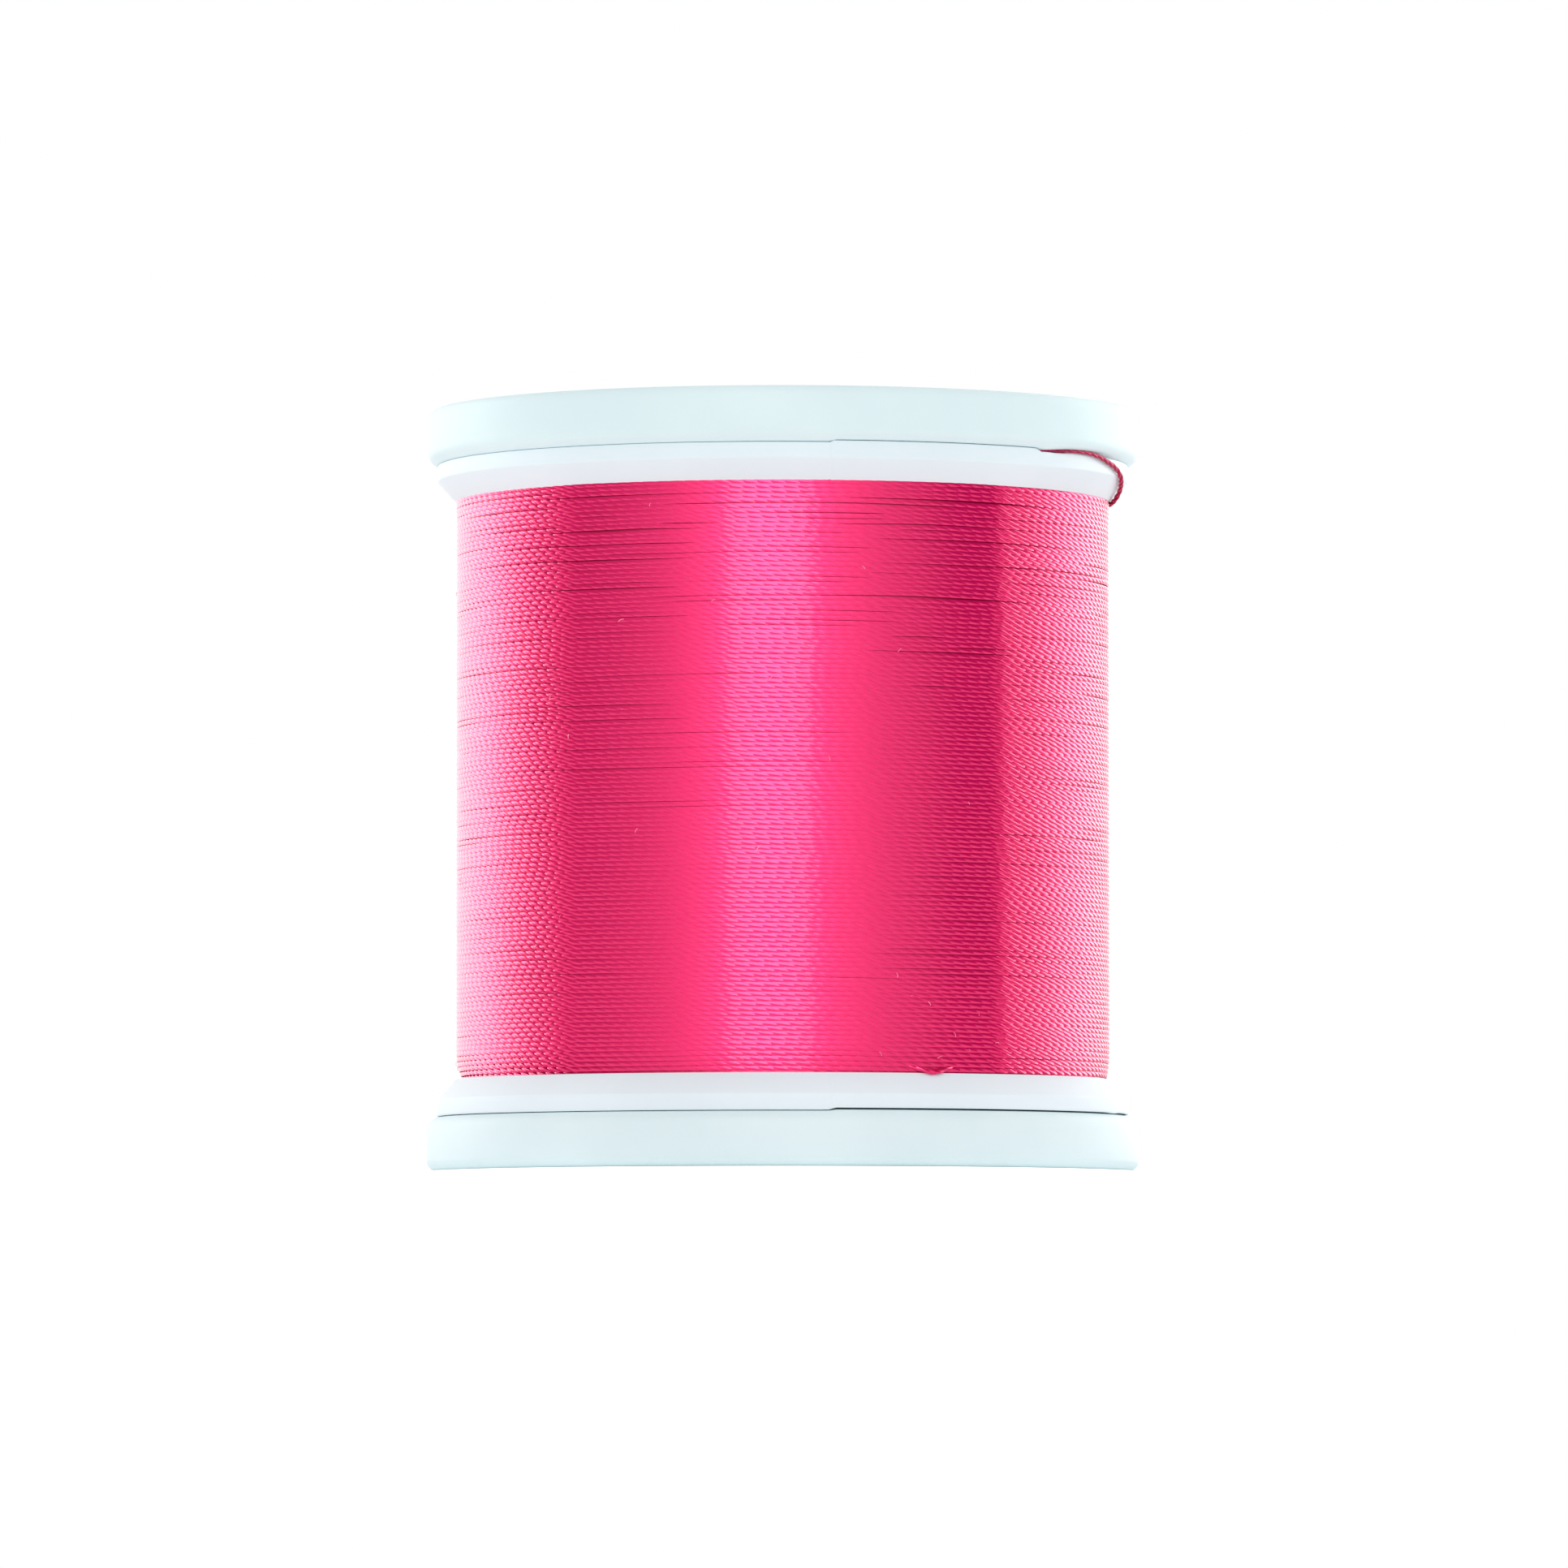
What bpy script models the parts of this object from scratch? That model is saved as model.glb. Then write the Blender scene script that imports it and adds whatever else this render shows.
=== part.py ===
"""A small spool of sewing thread with a snap cap at each end.

A hollow moulded body carries the wound thread between two flanges. Over each flange sits a cap, whose
four legs reach into the body, and which pulls out until the hooks on its legs meet a ledge. The narrow
slit between a cap and its flange takes the loose end of the thread. Each cap's outer face carries a paper
label in a shallow recess.

All sizes are in metres, and a size in millimetres is written as a number times MM. +Z runs along the
spool's axis, and the origin is on that axis, in the plane that the spool stands on. Radii follow from
each other, from the bore out to the cap, and heights from the winding out to the caps' outer faces.
"""

import math

import bmesh
import bpy
from mathutils import Matrix, Vector

MM = 0.001

# The moulded body, from the bore outwards
BORE_RADIUS = 3.9 * MM
GUIDE_TUBE_WALL = 1.0 * MM
LEG_ROOM = 1.3 * MM
BARREL_WALL = 1.2 * MM
RIB_THICKNESS = 0.8 * MM
FLANGE_SLOPE_WIDTH = 0.75 * MM
FLANGE_SLOPE_HEIGHT = 0.87 * MM
FLANGE_RIM_HEIGHT = 0.34 * MM
FLANGE_ROUNDING = 0.12 * MM

# The cap, from its outer face inwards
CAP_OVERHANG = 0.4 * MM
CAP_HEIGHT = 2.21 * MM
CAP_RIM_WIDTH = 1.4 * MM
CAP_SKIRT_WALL = 1.1 * MM
CAP_PLATE = 0.9 * MM
CAP_OUTER_ROUNDING = 0.4 * MM
CAP_SLIT_ROUNDING = 0.45 * MM

# The snap joint: a ledge inside the barrel, and hooks on the cap's legs
CAP_TRAVEL = 2.5 * MM
LEG_WALL = 0.9 * MM
LEG_ROOT_HEIGHT = 0.5 * MM
LEDGE_SETBACK = 0.3 * MM
LEDGE_HEIGHT = 0.8 * MM
LEDGE_WIDTH = 0.5 * MM
HOOK_FLAT = 0.4 * MM
HOOK_TAPER = 0.9 * MM

# The paper label in the cap's recess
LABEL_THICKNESS = 0.12 * MM
LABEL_RECESS = 0.35 * MM
LABEL_MARGIN = 0.2 * MM
LABEL_GLUE = 0.02 * MM

# The thread
THREAD_DIAMETER = 0.19 * MM
WINDING_DEPTH = 4.15 * MM
WINDING_HEIGHT = 23.17 * MM
WINDING_ROUNDING = 0.5 * MM

# The outer layer, whose tube stands for a band of neighbouring turns; its ends are at angles in degrees
# from the spool's front towards +X
BAND_DIAMETER = 0.5 * MM
BAND_GAP = 0.44 * MM
BAND_FIRST_ANGLE = 180.0
BAND_LAST_ANGLE = 97.0
BAND_POINTS_PER_TURN = 24
BAND_BEND_STEPS = 3

# Clearances
THREAD_CLEARANCE = 0.05 * MM
SEAT_CLEARANCE = 0.1 * MM
SLIDE_CLEARANCE = 0.2 * MM
RIB_CLEARANCE = 0.35 * MM

# How finely round shapes are divided
SIDES = 48
ROUNDING_STEPS = 3
FINE_MERGE = 0.001 * MM
OVERCUT = 1.0 * MM
SHARP_ANGLE = math.radians(30)

# Radii, from the bore outwards
GUIDE_TUBE_RADIUS = BORE_RADIUS + GUIDE_TUBE_WALL
LEG_INNER_RADIUS = GUIDE_TUBE_RADIUS + LEG_ROOM
LEG_OUTER_RADIUS = LEG_INNER_RADIUS + LEG_WALL
LEDGE_RADIUS = LEG_OUTER_RADIUS + SLIDE_CLEARANCE
BARREL_INNER_RADIUS = LEDGE_RADIUS + LEDGE_WIDTH
HOOK_RADIUS = BARREL_INNER_RADIUS - SLIDE_CLEARANCE
BARREL_RADIUS = BARREL_INNER_RADIUS + BARREL_WALL
WINDING_RADIUS = BARREL_RADIUS + WINDING_DEPTH
FLANGE_RADIUS = WINDING_RADIUS + FLANGE_SLOPE_WIDTH
CAP_RADIUS = FLANGE_RADIUS + CAP_OVERHANG
RECESS_RADIUS = CAP_RADIUS - CAP_RIM_WIDTH

# Heights
SLIT = THREAD_DIAMETER + 2 * THREAD_CLEARANCE
BODY_HEIGHT = WINDING_HEIGHT + 2 * (FLANGE_SLOPE_HEIGHT + FLANGE_RIM_HEIGHT)
SPOOL_HEIGHT = BODY_HEIGHT + 2 * (SLIT + CAP_HEIGHT)
MIDDLE = SPOOL_HEIGHT / 2
SLIT_MIDDLE = MIDDLE + BODY_HEIGHT / 2 + SLIT / 2

# The loose end of the thread, as it lies on the spool: it leaves the winding at its right, climbs the
# flange's slope and rim, enters the slit, and follows the flange's face a little way round under the cap.
# Each row is an angle in degrees from the front towards +X, a distance outside the flange's rim, and a
# height above the slit's middle.
TAIL_ROUTE = (
    (94.2, -1.000 * MM, -1.705 * MM),
    (92.0, -0.900 * MM, -1.640 * MM),
    (89.8, -0.730 * MM, -1.520 * MM),
    (87.5, -0.540 * MM, -1.360 * MM),
    (85.0, -0.370 * MM, -1.180 * MM),
    (82.3, -0.200 * MM, -0.990 * MM),
    (79.5, -0.020 * MM, -0.790 * MM),
    (77.0, 0.120 * MM, -0.620 * MM),
    (74.5, 0.150 * MM, -0.460 * MM),
    (72.5, 0.140 * MM, -0.310 * MM),
    (70.0, 0.135 * MM, -0.160 * MM),
    (67.0, 0.130 * MM, -0.045 * MM),
    (63.5, 0.130 * MM, 0.015 * MM),
    (59.0, 0.120 * MM, 0.020 * MM),
    (55.0, 0.080 * MM, 0.005 * MM),
    (50.0, -0.020 * MM, 0.0),
    (43.0, -0.200 * MM, 0.0),
    (35.0, -0.420 * MM, 0.0),
    (22.0, -0.750 * MM, 0.0),
    (4.0, -1.080 * MM, 0.0),
    (-18.0, -1.350 * MM, 0.0),
    (-45.0, -1.550 * MM, 0.0),
)
TAIL_STEPS_PER_ROW = 2


def clear_scene():
    """Takes every object out of the file."""
    for old in list(bpy.data.objects):
        bpy.data.objects.remove(old, do_unlink=True)


def new_collection(name):
    """A collection in the scene that objects can go in."""
    collection = bpy.data.collections.new(name)
    bpy.context.scene.collection.children.link(collection)
    return collection


def finish(name, colour, roughness):
    """A plain surface of one colour, for a sub-part."""
    material = bpy.data.materials.new(name)
    material.use_nodes = True
    surface = material.node_tree.nodes["Principled BSDF"]
    surface.inputs["Base Color"].default_value = (*colour, 1.0)
    surface.inputs["Roughness"].default_value = roughness
    surface.inputs["Metallic"].default_value = 0.0
    material.diffuse_color = (*colour, 1.0)
    return material


def rounding(centre_r, centre_z, radius, start, end):
    """Points along an arc of a turned profile, from one angle to another, in degrees from +r towards +z."""
    points = []
    for step in range(ROUNDING_STEPS + 1):
        angle = math.radians(start + (end - start) * step / ROUNDING_STEPS)
        points.append((centre_r + radius * math.cos(angle), centre_z + radius * math.sin(angle)))
    return points


def turned(name, profile, collection):
    """A round solid: a closed profile of (r, z) points, which runs down its outer side, turned about Z."""
    mesh = bpy.data.meshes.new(name)
    count = len(profile)
    mesh.from_pydata([(r, 0.0, z) for r, z in profile], [(i, (i + 1) % count) for i in range(count)], [])
    solid = bpy.data.objects.new(name, mesh)
    collection.objects.link(solid)
    screw = solid.modifiers.new("turn", "SCREW")
    screw.axis = "Z"
    screw.angle = math.tau
    screw.steps = SIDES
    screw.render_steps = SIDES
    screw.use_merge_vertices = True
    screw.merge_threshold = FINE_MERGE
    return solid


def block(name, size, centre, collection):
    """A plain block of the given size about its centre, with its scale in its mesh."""
    shape = bmesh.new()
    bmesh.ops.create_cube(shape, size=1.0, matrix=Matrix.Diagonal((*size, 1.0)))
    mesh = bpy.data.meshes.new(name)
    shape.to_mesh(mesh)
    shape.free()
    solid = bpy.data.objects.new(name, mesh)
    solid.location = centre
    collection.objects.link(solid)
    return solid


def rod(name, radius, bottom, top, collection):
    """A plain upright cylinder on the spool's axis."""
    shape = bmesh.new()
    bmesh.ops.create_cone(
        shape, cap_ends=True, segments=SIDES, radius1=radius, radius2=radius, depth=top - bottom
    )
    mesh = bpy.data.meshes.new(name)
    shape.to_mesh(mesh)
    shape.free()
    solid = bpy.data.objects.new(name, mesh)
    solid.location.z = (bottom + top) / 2
    collection.objects.link(solid)
    return solid


def hide(tool):
    """Marks an object as a cutter or a pattern, which is no part of the spool."""
    tool.hide_render = True
    tool.display_type = "WIRE"


def combine(solid, tool, operation):
    """Joins a tool to a solid or cuts it out, and hides the tool."""
    modifier = solid.modifiers.new(tool.name, "BOOLEAN")
    modifier.operation = operation
    modifier.object = tool
    modifier.solver = "EXACT"
    hide(tool)


def shaped_mesh(solid, material):
    """The mesh that a solid's modifiers make, in its material, shaded smooth between its sharp edges."""
    bpy.context.view_layer.update()
    evaluated = solid.evaluated_get(bpy.context.evaluated_depsgraph_get())
    mesh = bpy.data.meshes.new_from_object(evaluated)
    mesh.materials.clear()
    mesh.materials.append(material)
    mesh.shade_smooth()
    mesh.set_sharp_from_angle(angle=SHARP_ANGLE)
    return mesh


def settle(solid, material):
    """Replaces a solid's modifiers by the shape that they make."""
    mesh = shaped_mesh(solid, material)
    solid.modifiers.clear()
    solid.data = mesh


def crossed_blocks(name, width, length, bottom, top, collection):
    """Two upright blocks through the axis, along X and along Y."""
    height = top - bottom
    centre = (0.0, 0.0, (bottom + top) / 2)
    return [
        block(name + "_x", (length, width, height), centre, collection),
        block(name + "_y", (width, length, height), centre, collection),
    ]


def body_profile():
    """The barrel's wall with its flanges and ledges, about the spool's middle height."""
    half_body = BODY_HEIGHT / 2
    half_winding = WINDING_HEIGHT / 2
    ledge_top = half_body - LEDGE_SETBACK - LEDGE_WIDTH
    ledge_bottom = ledge_top - LEDGE_HEIGHT
    upper_outside = rounding(
        FLANGE_RADIUS - FLANGE_ROUNDING, half_body - FLANGE_ROUNDING, FLANGE_ROUNDING, 90, 0
    )
    upper_outside += [
        (FLANGE_RADIUS, half_body - FLANGE_RIM_HEIGHT),
        (WINDING_RADIUS, half_winding),
        (BARREL_RADIUS, half_winding),
    ]
    upper_inside = [
        (BARREL_INNER_RADIUS, ledge_bottom),
        (LEDGE_RADIUS, ledge_bottom),
        (LEDGE_RADIUS, ledge_top),
        (BARREL_INNER_RADIUS, ledge_top + LEDGE_WIDTH),
        (BARREL_INNER_RADIUS, half_body),
    ]
    lower_outside = [(r, -z) for r, z in reversed(upper_outside)]
    lower_inside = [(r, -z) for r, z in reversed(upper_inside)]
    profile = upper_outside + lower_outside + lower_inside + upper_inside
    return [(r, z + MIDDLE) for r, z in profile]


def make_body(parts, tools):
    """The moulded body: barrel and flanges, a guide tube round the bore, and four ribs between them."""
    bottom = MIDDLE - BODY_HEIGHT / 2
    top = MIDDLE + BODY_HEIGHT / 2
    body = turned("spool_body", body_profile(), parts)
    rib_span = 2 * BARREL_INNER_RADIUS + BARREL_WALL
    setback = LEG_ROOT_HEIGHT + RIB_CLEARANCE
    for rib in crossed_blocks("rib", RIB_THICKNESS, rib_span, bottom + setback, top - setback, tools):
        combine(body, rib, "UNION")
    combine(body, rod("guide_tube", GUIDE_TUBE_RADIUS, bottom, top, tools), "UNION")
    combine(body, rod("bore", BORE_RADIUS, bottom - OVERCUT, top + OVERCUT, tools), "DIFFERENCE")
    return body


def cap_profile():
    """A cap with its ring of legs, from its outer face at z = 0 down into the body."""
    plate_bottom = -(LABEL_RECESS + CAP_PLATE)
    flange_face = -(CAP_HEIGHT + SLIT)
    collar_bottom = flange_face + SEAT_CLEARANCE
    ledge_underside = flange_face - LEDGE_SETBACK - LEDGE_WIDTH - LEDGE_HEIGHT
    hook_top = ledge_underside - CAP_TRAVEL - SEAT_CLEARANCE
    hook_bottom = hook_top - HOOK_FLAT
    skirt_inner_radius = CAP_RADIUS - CAP_SKIRT_WALL
    profile = [(RECESS_RADIUS, 0.0)]
    profile += rounding(
        CAP_RADIUS - CAP_OUTER_ROUNDING, -CAP_OUTER_ROUNDING, CAP_OUTER_ROUNDING, 90, 0
    )
    profile += rounding(
        CAP_RADIUS - CAP_SLIT_ROUNDING, CAP_SLIT_ROUNDING - CAP_HEIGHT, CAP_SLIT_ROUNDING, 0, -90
    )
    profile += [
        (skirt_inner_radius, -CAP_HEIGHT),
        (skirt_inner_radius, plate_bottom),
        (LEG_OUTER_RADIUS, plate_bottom),
        (LEG_OUTER_RADIUS, hook_top),
        (HOOK_RADIUS, hook_top),
        (HOOK_RADIUS, hook_bottom),
        (LEG_OUTER_RADIUS, hook_bottom - HOOK_TAPER),
        (LEG_INNER_RADIUS, hook_bottom - HOOK_TAPER),
        (LEG_INNER_RADIUS, plate_bottom),
        (GUIDE_TUBE_RADIUS, plate_bottom),
        (GUIDE_TUBE_RADIUS, collar_bottom),
        (BORE_RADIUS, collar_bottom),
        (BORE_RADIUS, -LABEL_RECESS),
        (RECESS_RADIUS, -LABEL_RECESS),
    ]
    return profile


def cap_mesh(material, tools):
    """The shape that both caps share: the turned cap, with slots that part its ring into four legs."""
    cap = turned("cap_pattern", cap_profile(), tools)
    slot_top = -(CAP_HEIGHT + SLIT + LEG_ROOT_HEIGHT)
    slot_bottom = min(z for _, z in cap_profile()) - OVERCUT
    slot_width = RIB_THICKNESS + 2 * RIB_CLEARANCE
    slot_span = 2 * (HOOK_RADIUS + OVERCUT)
    for slot in crossed_blocks("leg_slot", slot_width, slot_span, slot_bottom, slot_top, tools):
        combine(cap, slot, "DIFFERENCE")
    hide(cap)
    return shaped_mesh(cap, material)


def label_mesh(material, tools):
    """The shape that both paper labels share, from its outer face at z = 0 down."""
    outer_radius = RECESS_RADIUS - LABEL_MARGIN
    inner_radius = BORE_RADIUS + LABEL_MARGIN
    profile = [
        (outer_radius, 0.0),
        (outer_radius, -LABEL_THICKNESS),
        (inner_radius, -LABEL_THICKNESS),
        (inner_radius, 0.0),
    ]
    label = turned("label_pattern", profile, tools)
    hide(label)
    return shaped_mesh(label, material)


def place_at_both_ends(kind, mesh, depth, parts):
    """One copy of an end piece on top and one turned over at the bottom, each this deep in its end."""
    top = bpy.data.objects.new("top_" + kind, mesh)
    top.location.z = SPOOL_HEIGHT - depth
    bottom = bpy.data.objects.new("bottom_" + kind, mesh)
    bottom.location.z = depth
    bottom.rotation_euler.x = math.pi
    for piece in (top, bottom):
        parts.objects.link(piece)


def on_spool(angle, radius, height):
    """The point at an angle in degrees from the front, the -Y side, towards +X."""
    turn = math.radians(angle)
    return Vector((radius * math.sin(turn), -radius * math.cos(turn), height))


def make_inner_layers(parts):
    """The wound thread under the outer layer, as one plain ring with rounded outer corners."""
    band_flats = (WINDING_RADIUS - BAND_DIAMETER / 2) * math.cos(math.pi / BAND_POINTS_PER_TURN)
    outer = band_flats - BAND_DIAMETER / 2 - THREAD_CLEARANCE
    inner = BARREL_RADIUS + SEAT_CLEARANCE
    half = WINDING_HEIGHT / 2 - SEAT_CLEARANCE
    radius = min(WINDING_ROUNDING, (outer - inner) / 2)
    profile = rounding(outer - radius, MIDDLE + half - radius, radius, 90, 0)
    profile += rounding(outer - radius, MIDDLE - half + radius, radius, 0, -90)
    profile += [(inner, MIDDLE - half), (inner, MIDDLE + half)]
    return turned("thread_inner_layers", profile, parts)


def band_points():
    """The outer layer's centre line: it climbs from the lower flange to the place where the tail leaves it.

    It starts with a straight run of one diameter, square to the flange, bends into its first turn, goes round
    against the angles' sense, and ends with a straight run of one diameter along its last turn.
    """
    radius = WINDING_RADIUS - BAND_DIAMETER / 2
    half = WINDING_HEIGHT / 2 - SEAT_CLEARANCE
    bend = BAND_DIAMETER / 2
    bend_angle = math.degrees(bend / radius)
    start = MIDDLE - half
    first = start + BAND_DIAMETER + bend
    climb = MIDDLE + half - BAND_DIAMETER / 2 - first
    part_turn = (BAND_FIRST_ANGLE - BAND_LAST_ANGLE) / 360.0
    whole_turns = math.floor(climb / (BAND_DIAMETER + BAND_GAP) - part_turn)
    sweep = (whole_turns + part_turn) * 360.0
    points = [on_spool(BAND_FIRST_ANGLE + bend_angle, radius, start)]
    for step in range(BAND_BEND_STEPS + 1):
        turn = math.radians(90.0 * step / BAND_BEND_STEPS)
        angle = BAND_FIRST_ANGLE + bend_angle * math.cos(turn)
        points.append(on_spool(angle, radius, first - bend * (1 - math.sin(turn))))
    steps = round(sweep / 360.0 * BAND_POINTS_PER_TURN)
    for step in range(1, steps + 1):
        share = step / steps
        points.append(on_spool(BAND_FIRST_ANGLE - sweep * share, radius, first + climb * share))
    onward = Vector((points[-1].y, -points[-1].x, 0.0)).normalized()
    points.append(points[-1] + onward * BAND_DIAMETER)
    return points


def smooth_route(route, steps):
    """Rows of a smooth curve through a route's rows, with this many steps from each row to the next."""
    rows = [Vector(row) for row in route]
    rows = [2 * rows[0] - rows[1], *rows, 2 * rows[-1] - rows[-2]]
    smooth = []
    for i in range(1, len(rows) - 2):
        before, here, there, beyond = rows[i - 1 : i + 3]
        for step in range(steps):
            t = step / steps
            straight = there - here
            leaving = (there - before) / 2
            arriving = (beyond - here) / 2
            square = 3 * straight - 2 * leaving - arriving
            cube = leaving + arriving - 2 * straight
            smooth.append(here + leaving * t + square * t**2 + cube * t**3)
    smooth.append(rows[-2])
    return smooth


def tail_points():
    """The loose end's centre line."""
    rows = smooth_route(TAIL_ROUTE, TAIL_STEPS_PER_ROW)
    return [on_spool(angle, FLANGE_RADIUS + outside, SLIT_MIDDLE + above) for angle, outside, above in rows]


def make_tube(name, points, diameter, resolution, material, parts):
    """A round tube along a line of points, closed at its ends."""
    curve = bpy.data.curves.new(name, "CURVE")
    curve.dimensions = "3D"
    curve.bevel_depth = diameter / 2
    curve.bevel_resolution = resolution
    curve.use_fill_caps = True
    spline = curve.splines.new("POLY")
    spline.points.add(len(points) - 1)
    for target, point in zip(spline.points, points, strict=True):
        target.co = (*point, 1.0)
    curve.materials.append(material)
    parts.objects.link(bpy.data.objects.new(name, curve))


def least_gap(points, diameter):
    """The least clear distance between turns that lie next to each other, measured on the points."""
    half_turn = BAND_POINTS_PER_TURN // 2
    nearest = math.inf
    for i, point in enumerate(points):
        for other in points[i + half_turn : i + 3 * half_turn + 1]:
            nearest = min(nearest, (other - point).length)
    return nearest - diameter


def main():
    clear_scene()
    parts = new_collection("spool_of_thread")
    tools = new_collection("cutters_and_patterns")
    body_plastic = finish("white_body_plastic", (0.79, 0.91, 0.96), 0.4)
    cap_plastic = finish("white_cap_plastic", (0.72, 0.86, 0.88), 0.4)
    thread = finish("pink_thread", (0.80, 0.02, 0.14), 0.5)
    paper = finish("label_paper", (0.86, 0.86, 0.84), 0.7)

    settle(make_body(parts, tools), body_plastic)
    place_at_both_ends("cap", cap_mesh(cap_plastic, tools), 0.0, parts)
    place_at_both_ends("label", label_mesh(paper, tools), LABEL_RECESS - LABEL_THICKNESS - LABEL_GLUE, parts)

    settle(make_inner_layers(parts), thread)
    band = band_points()
    make_tube("thread_outer_layer", band, BAND_DIAMETER, 1, thread, parts)
    make_tube("thread_tail", tail_points(), THREAD_DIAMETER, 2, thread, parts)
    print(f"outer layer: least gap to itself {least_gap(band, BAND_DIAMETER) / MM:.3f} mm")


main()
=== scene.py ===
"""A small snap spool wound full of pink two-ply thread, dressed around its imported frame.

The spool stands on the origin with its axis along +Z, and the camera looks at it along +Y from slightly
below. Angles round the spool are in degrees from its front towards +X. Sizes are in millimetres in the
classes' fields and in metres in the meshes; MM turns the one into the other.
"""

import logging
import math
import sys
from collections.abc import Callable, Iterable, Sequence
from dataclasses import dataclass
from enum import Enum
from functools import partial

import bmesh
import bpy
import numpy as np
from mathutils import Matrix, Vector


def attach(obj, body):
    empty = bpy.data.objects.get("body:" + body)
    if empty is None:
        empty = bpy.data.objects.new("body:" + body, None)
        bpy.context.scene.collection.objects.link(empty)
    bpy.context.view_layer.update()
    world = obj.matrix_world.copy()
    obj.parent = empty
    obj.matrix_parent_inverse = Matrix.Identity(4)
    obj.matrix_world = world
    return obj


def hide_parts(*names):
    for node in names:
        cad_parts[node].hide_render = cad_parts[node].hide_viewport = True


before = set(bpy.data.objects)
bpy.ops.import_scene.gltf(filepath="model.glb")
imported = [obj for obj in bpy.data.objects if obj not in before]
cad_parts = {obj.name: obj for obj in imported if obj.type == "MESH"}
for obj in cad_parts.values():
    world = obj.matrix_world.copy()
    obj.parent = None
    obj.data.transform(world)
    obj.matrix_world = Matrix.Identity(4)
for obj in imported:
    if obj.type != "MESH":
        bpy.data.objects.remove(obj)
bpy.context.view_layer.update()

MM = 0.001
FRONT_UV = "OFBake"
STRAND = "strand"
NOISE = "ShaderNodeTexNoise"
RAMP = "ShaderNodeValToRGB"
MAP_RANGE = "ShaderNodeMapRange"
BUMP = "ShaderNodeBump"
COMBINE = "ShaderNodeCombineXYZ"
COMPARE = "FunctionNodeCompare"
STORE = "GeometryNodeStoreNamedAttribute"
MATH = "ShaderNodeMath"
WHOLE = "FunctionNodeIntegerMath"
VECTOR = "ShaderNodeVectorMath"
# Most of a noise's values lie between these
NOISE_SPREAD = (0.3, 0.7)
WHITE = (1.0, 1.0, 1.0, 1.0)

log = logging.getLogger("spool")

Material = bpy.types.Material
Mesh = bpy.types.Mesh
Node = bpy.types.Node
Object = bpy.types.Object
Sockets = bpy.types.NodeOutputs
Tree = bpy.types.NodeTree
Adder = Callable[..., Node]
Profile = list[tuple[float, float]]
Pairs = tuple[tuple[float, float], ...]
Stops = Sequence[tuple[float, Sequence[float]]]
Reshape = Callable[[np.ndarray, np.ndarray, np.ndarray], tuple[np.ndarray, np.ndarray]]


@dataclass(frozen=True)
class SpoolSizes:
    """The main sizes that several parts share, in millimetres."""

    height: float = 30.59
    bore: float = 3.9
    guide_tube: float = 4.9
    leg_inner: float = 6.2
    leg_outer: float = 7.1
    ledge: float = 7.3
    hook: float = 7.6
    barrel_inner: float = 7.8
    barrel: float = 9.0
    winding: float = 13.15
    flange: float = 13.9
    cap: float = 14.3
    winding_foot: float = 3.71
    winding_top: float = 26.92
    body_foot: float = 2.5
    body_top: float = 28.09
    cap_height: float = 2.21
    thread: float = 0.19


SIZES = SpoolSizes()


class Body(Enum):
    """The frame's bodies that a piece can ride on."""

    SPOOL = "spool"
    UPPER_CAP = "upper_cap"
    LOWER_CAP = "lower_cap"


class Slot(Enum):
    """The record's material slots."""

    BODY = "white_body_plastic"
    CAP = "white_cap_plastic"
    PAPER = "label_paper"
    THREAD = "pink_thread"


class Ray(Enum):
    """What a lamp is there for: to light matt surfaces, or to show in gloss."""

    MATT = "matt"
    GLOSS = "gloss"


class End(Enum):
    """The spool's two ends: name, body, first word of the CAD nodes, face height and way inwards."""

    UPPER = ("upper", Body.UPPER_CAP, "top", SIZES.height, -1)
    LOWER = ("lower", Body.LOWER_CAP, "bottom", 0.0, 1)


class Op(Enum):
    """The arithmetic of the node trees: the type of node and its operation."""

    ADD = (MATH, "ADD")
    SUBTRACT = (MATH, "SUBTRACT")
    MULTIPLY = (MATH, "MULTIPLY")
    MULTIPLY_ADD = (MATH, "MULTIPLY_ADD")
    DIVIDE = (MATH, "DIVIDE")
    POWER = (MATH, "POWER")
    EXPONENT = (MATH, "EXPONENT")
    ABSOLUTE = (MATH, "ABSOLUTE")
    SIGN = (MATH, "SIGN")
    SINE = (MATH, "SINE")
    COSINE = (MATH, "COSINE")
    ARCTAN2 = (MATH, "ARCTAN2")
    MINIMUM = (MATH, "MINIMUM")
    MAXIMUM = (MATH, "MAXIMUM")
    LESS = (MATH, "LESS_THAN")
    MORE = (MATH, "GREATER_THAN")
    WHOLE_ADD = (WHOLE, "ADD")
    WHOLE_SUBTRACT = (WHOLE, "SUBTRACT")
    WHOLE_MULTIPLY = (WHOLE, "MULTIPLY")
    WHOLE_DIVIDE = (WHOLE, "DIVIDE_FLOOR")
    WHOLE_MODULO = (WHOLE, "MODULO")
    VECTOR_MULTIPLY = (VECTOR, "MULTIPLY")
    VECTOR_MULTIPLY_ADD = (VECTOR, "MULTIPLY_ADD")
    VECTOR_LENGTH = (VECTOR, "LENGTH")


# Node trees and meshes


def linear(hex_colour: str) -> tuple[float, float, float, float]:
    """Turn an sRGB hex colour into the linear colour that a shader takes.

    Args:
        hex_colour: Six hex digits, such as "E9F6F9".

    Returns:
        Linear red, green and blue, and an alpha of 1.
    """
    channels = [int(hex_colour[i : i + 2], 16) / 255 for i in (0, 2, 4)]
    return (*[c / 12.92 if c <= 0.04045 else ((c + 0.055) / 1.055) ** 2.4 for c in channels], 1.0)


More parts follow.
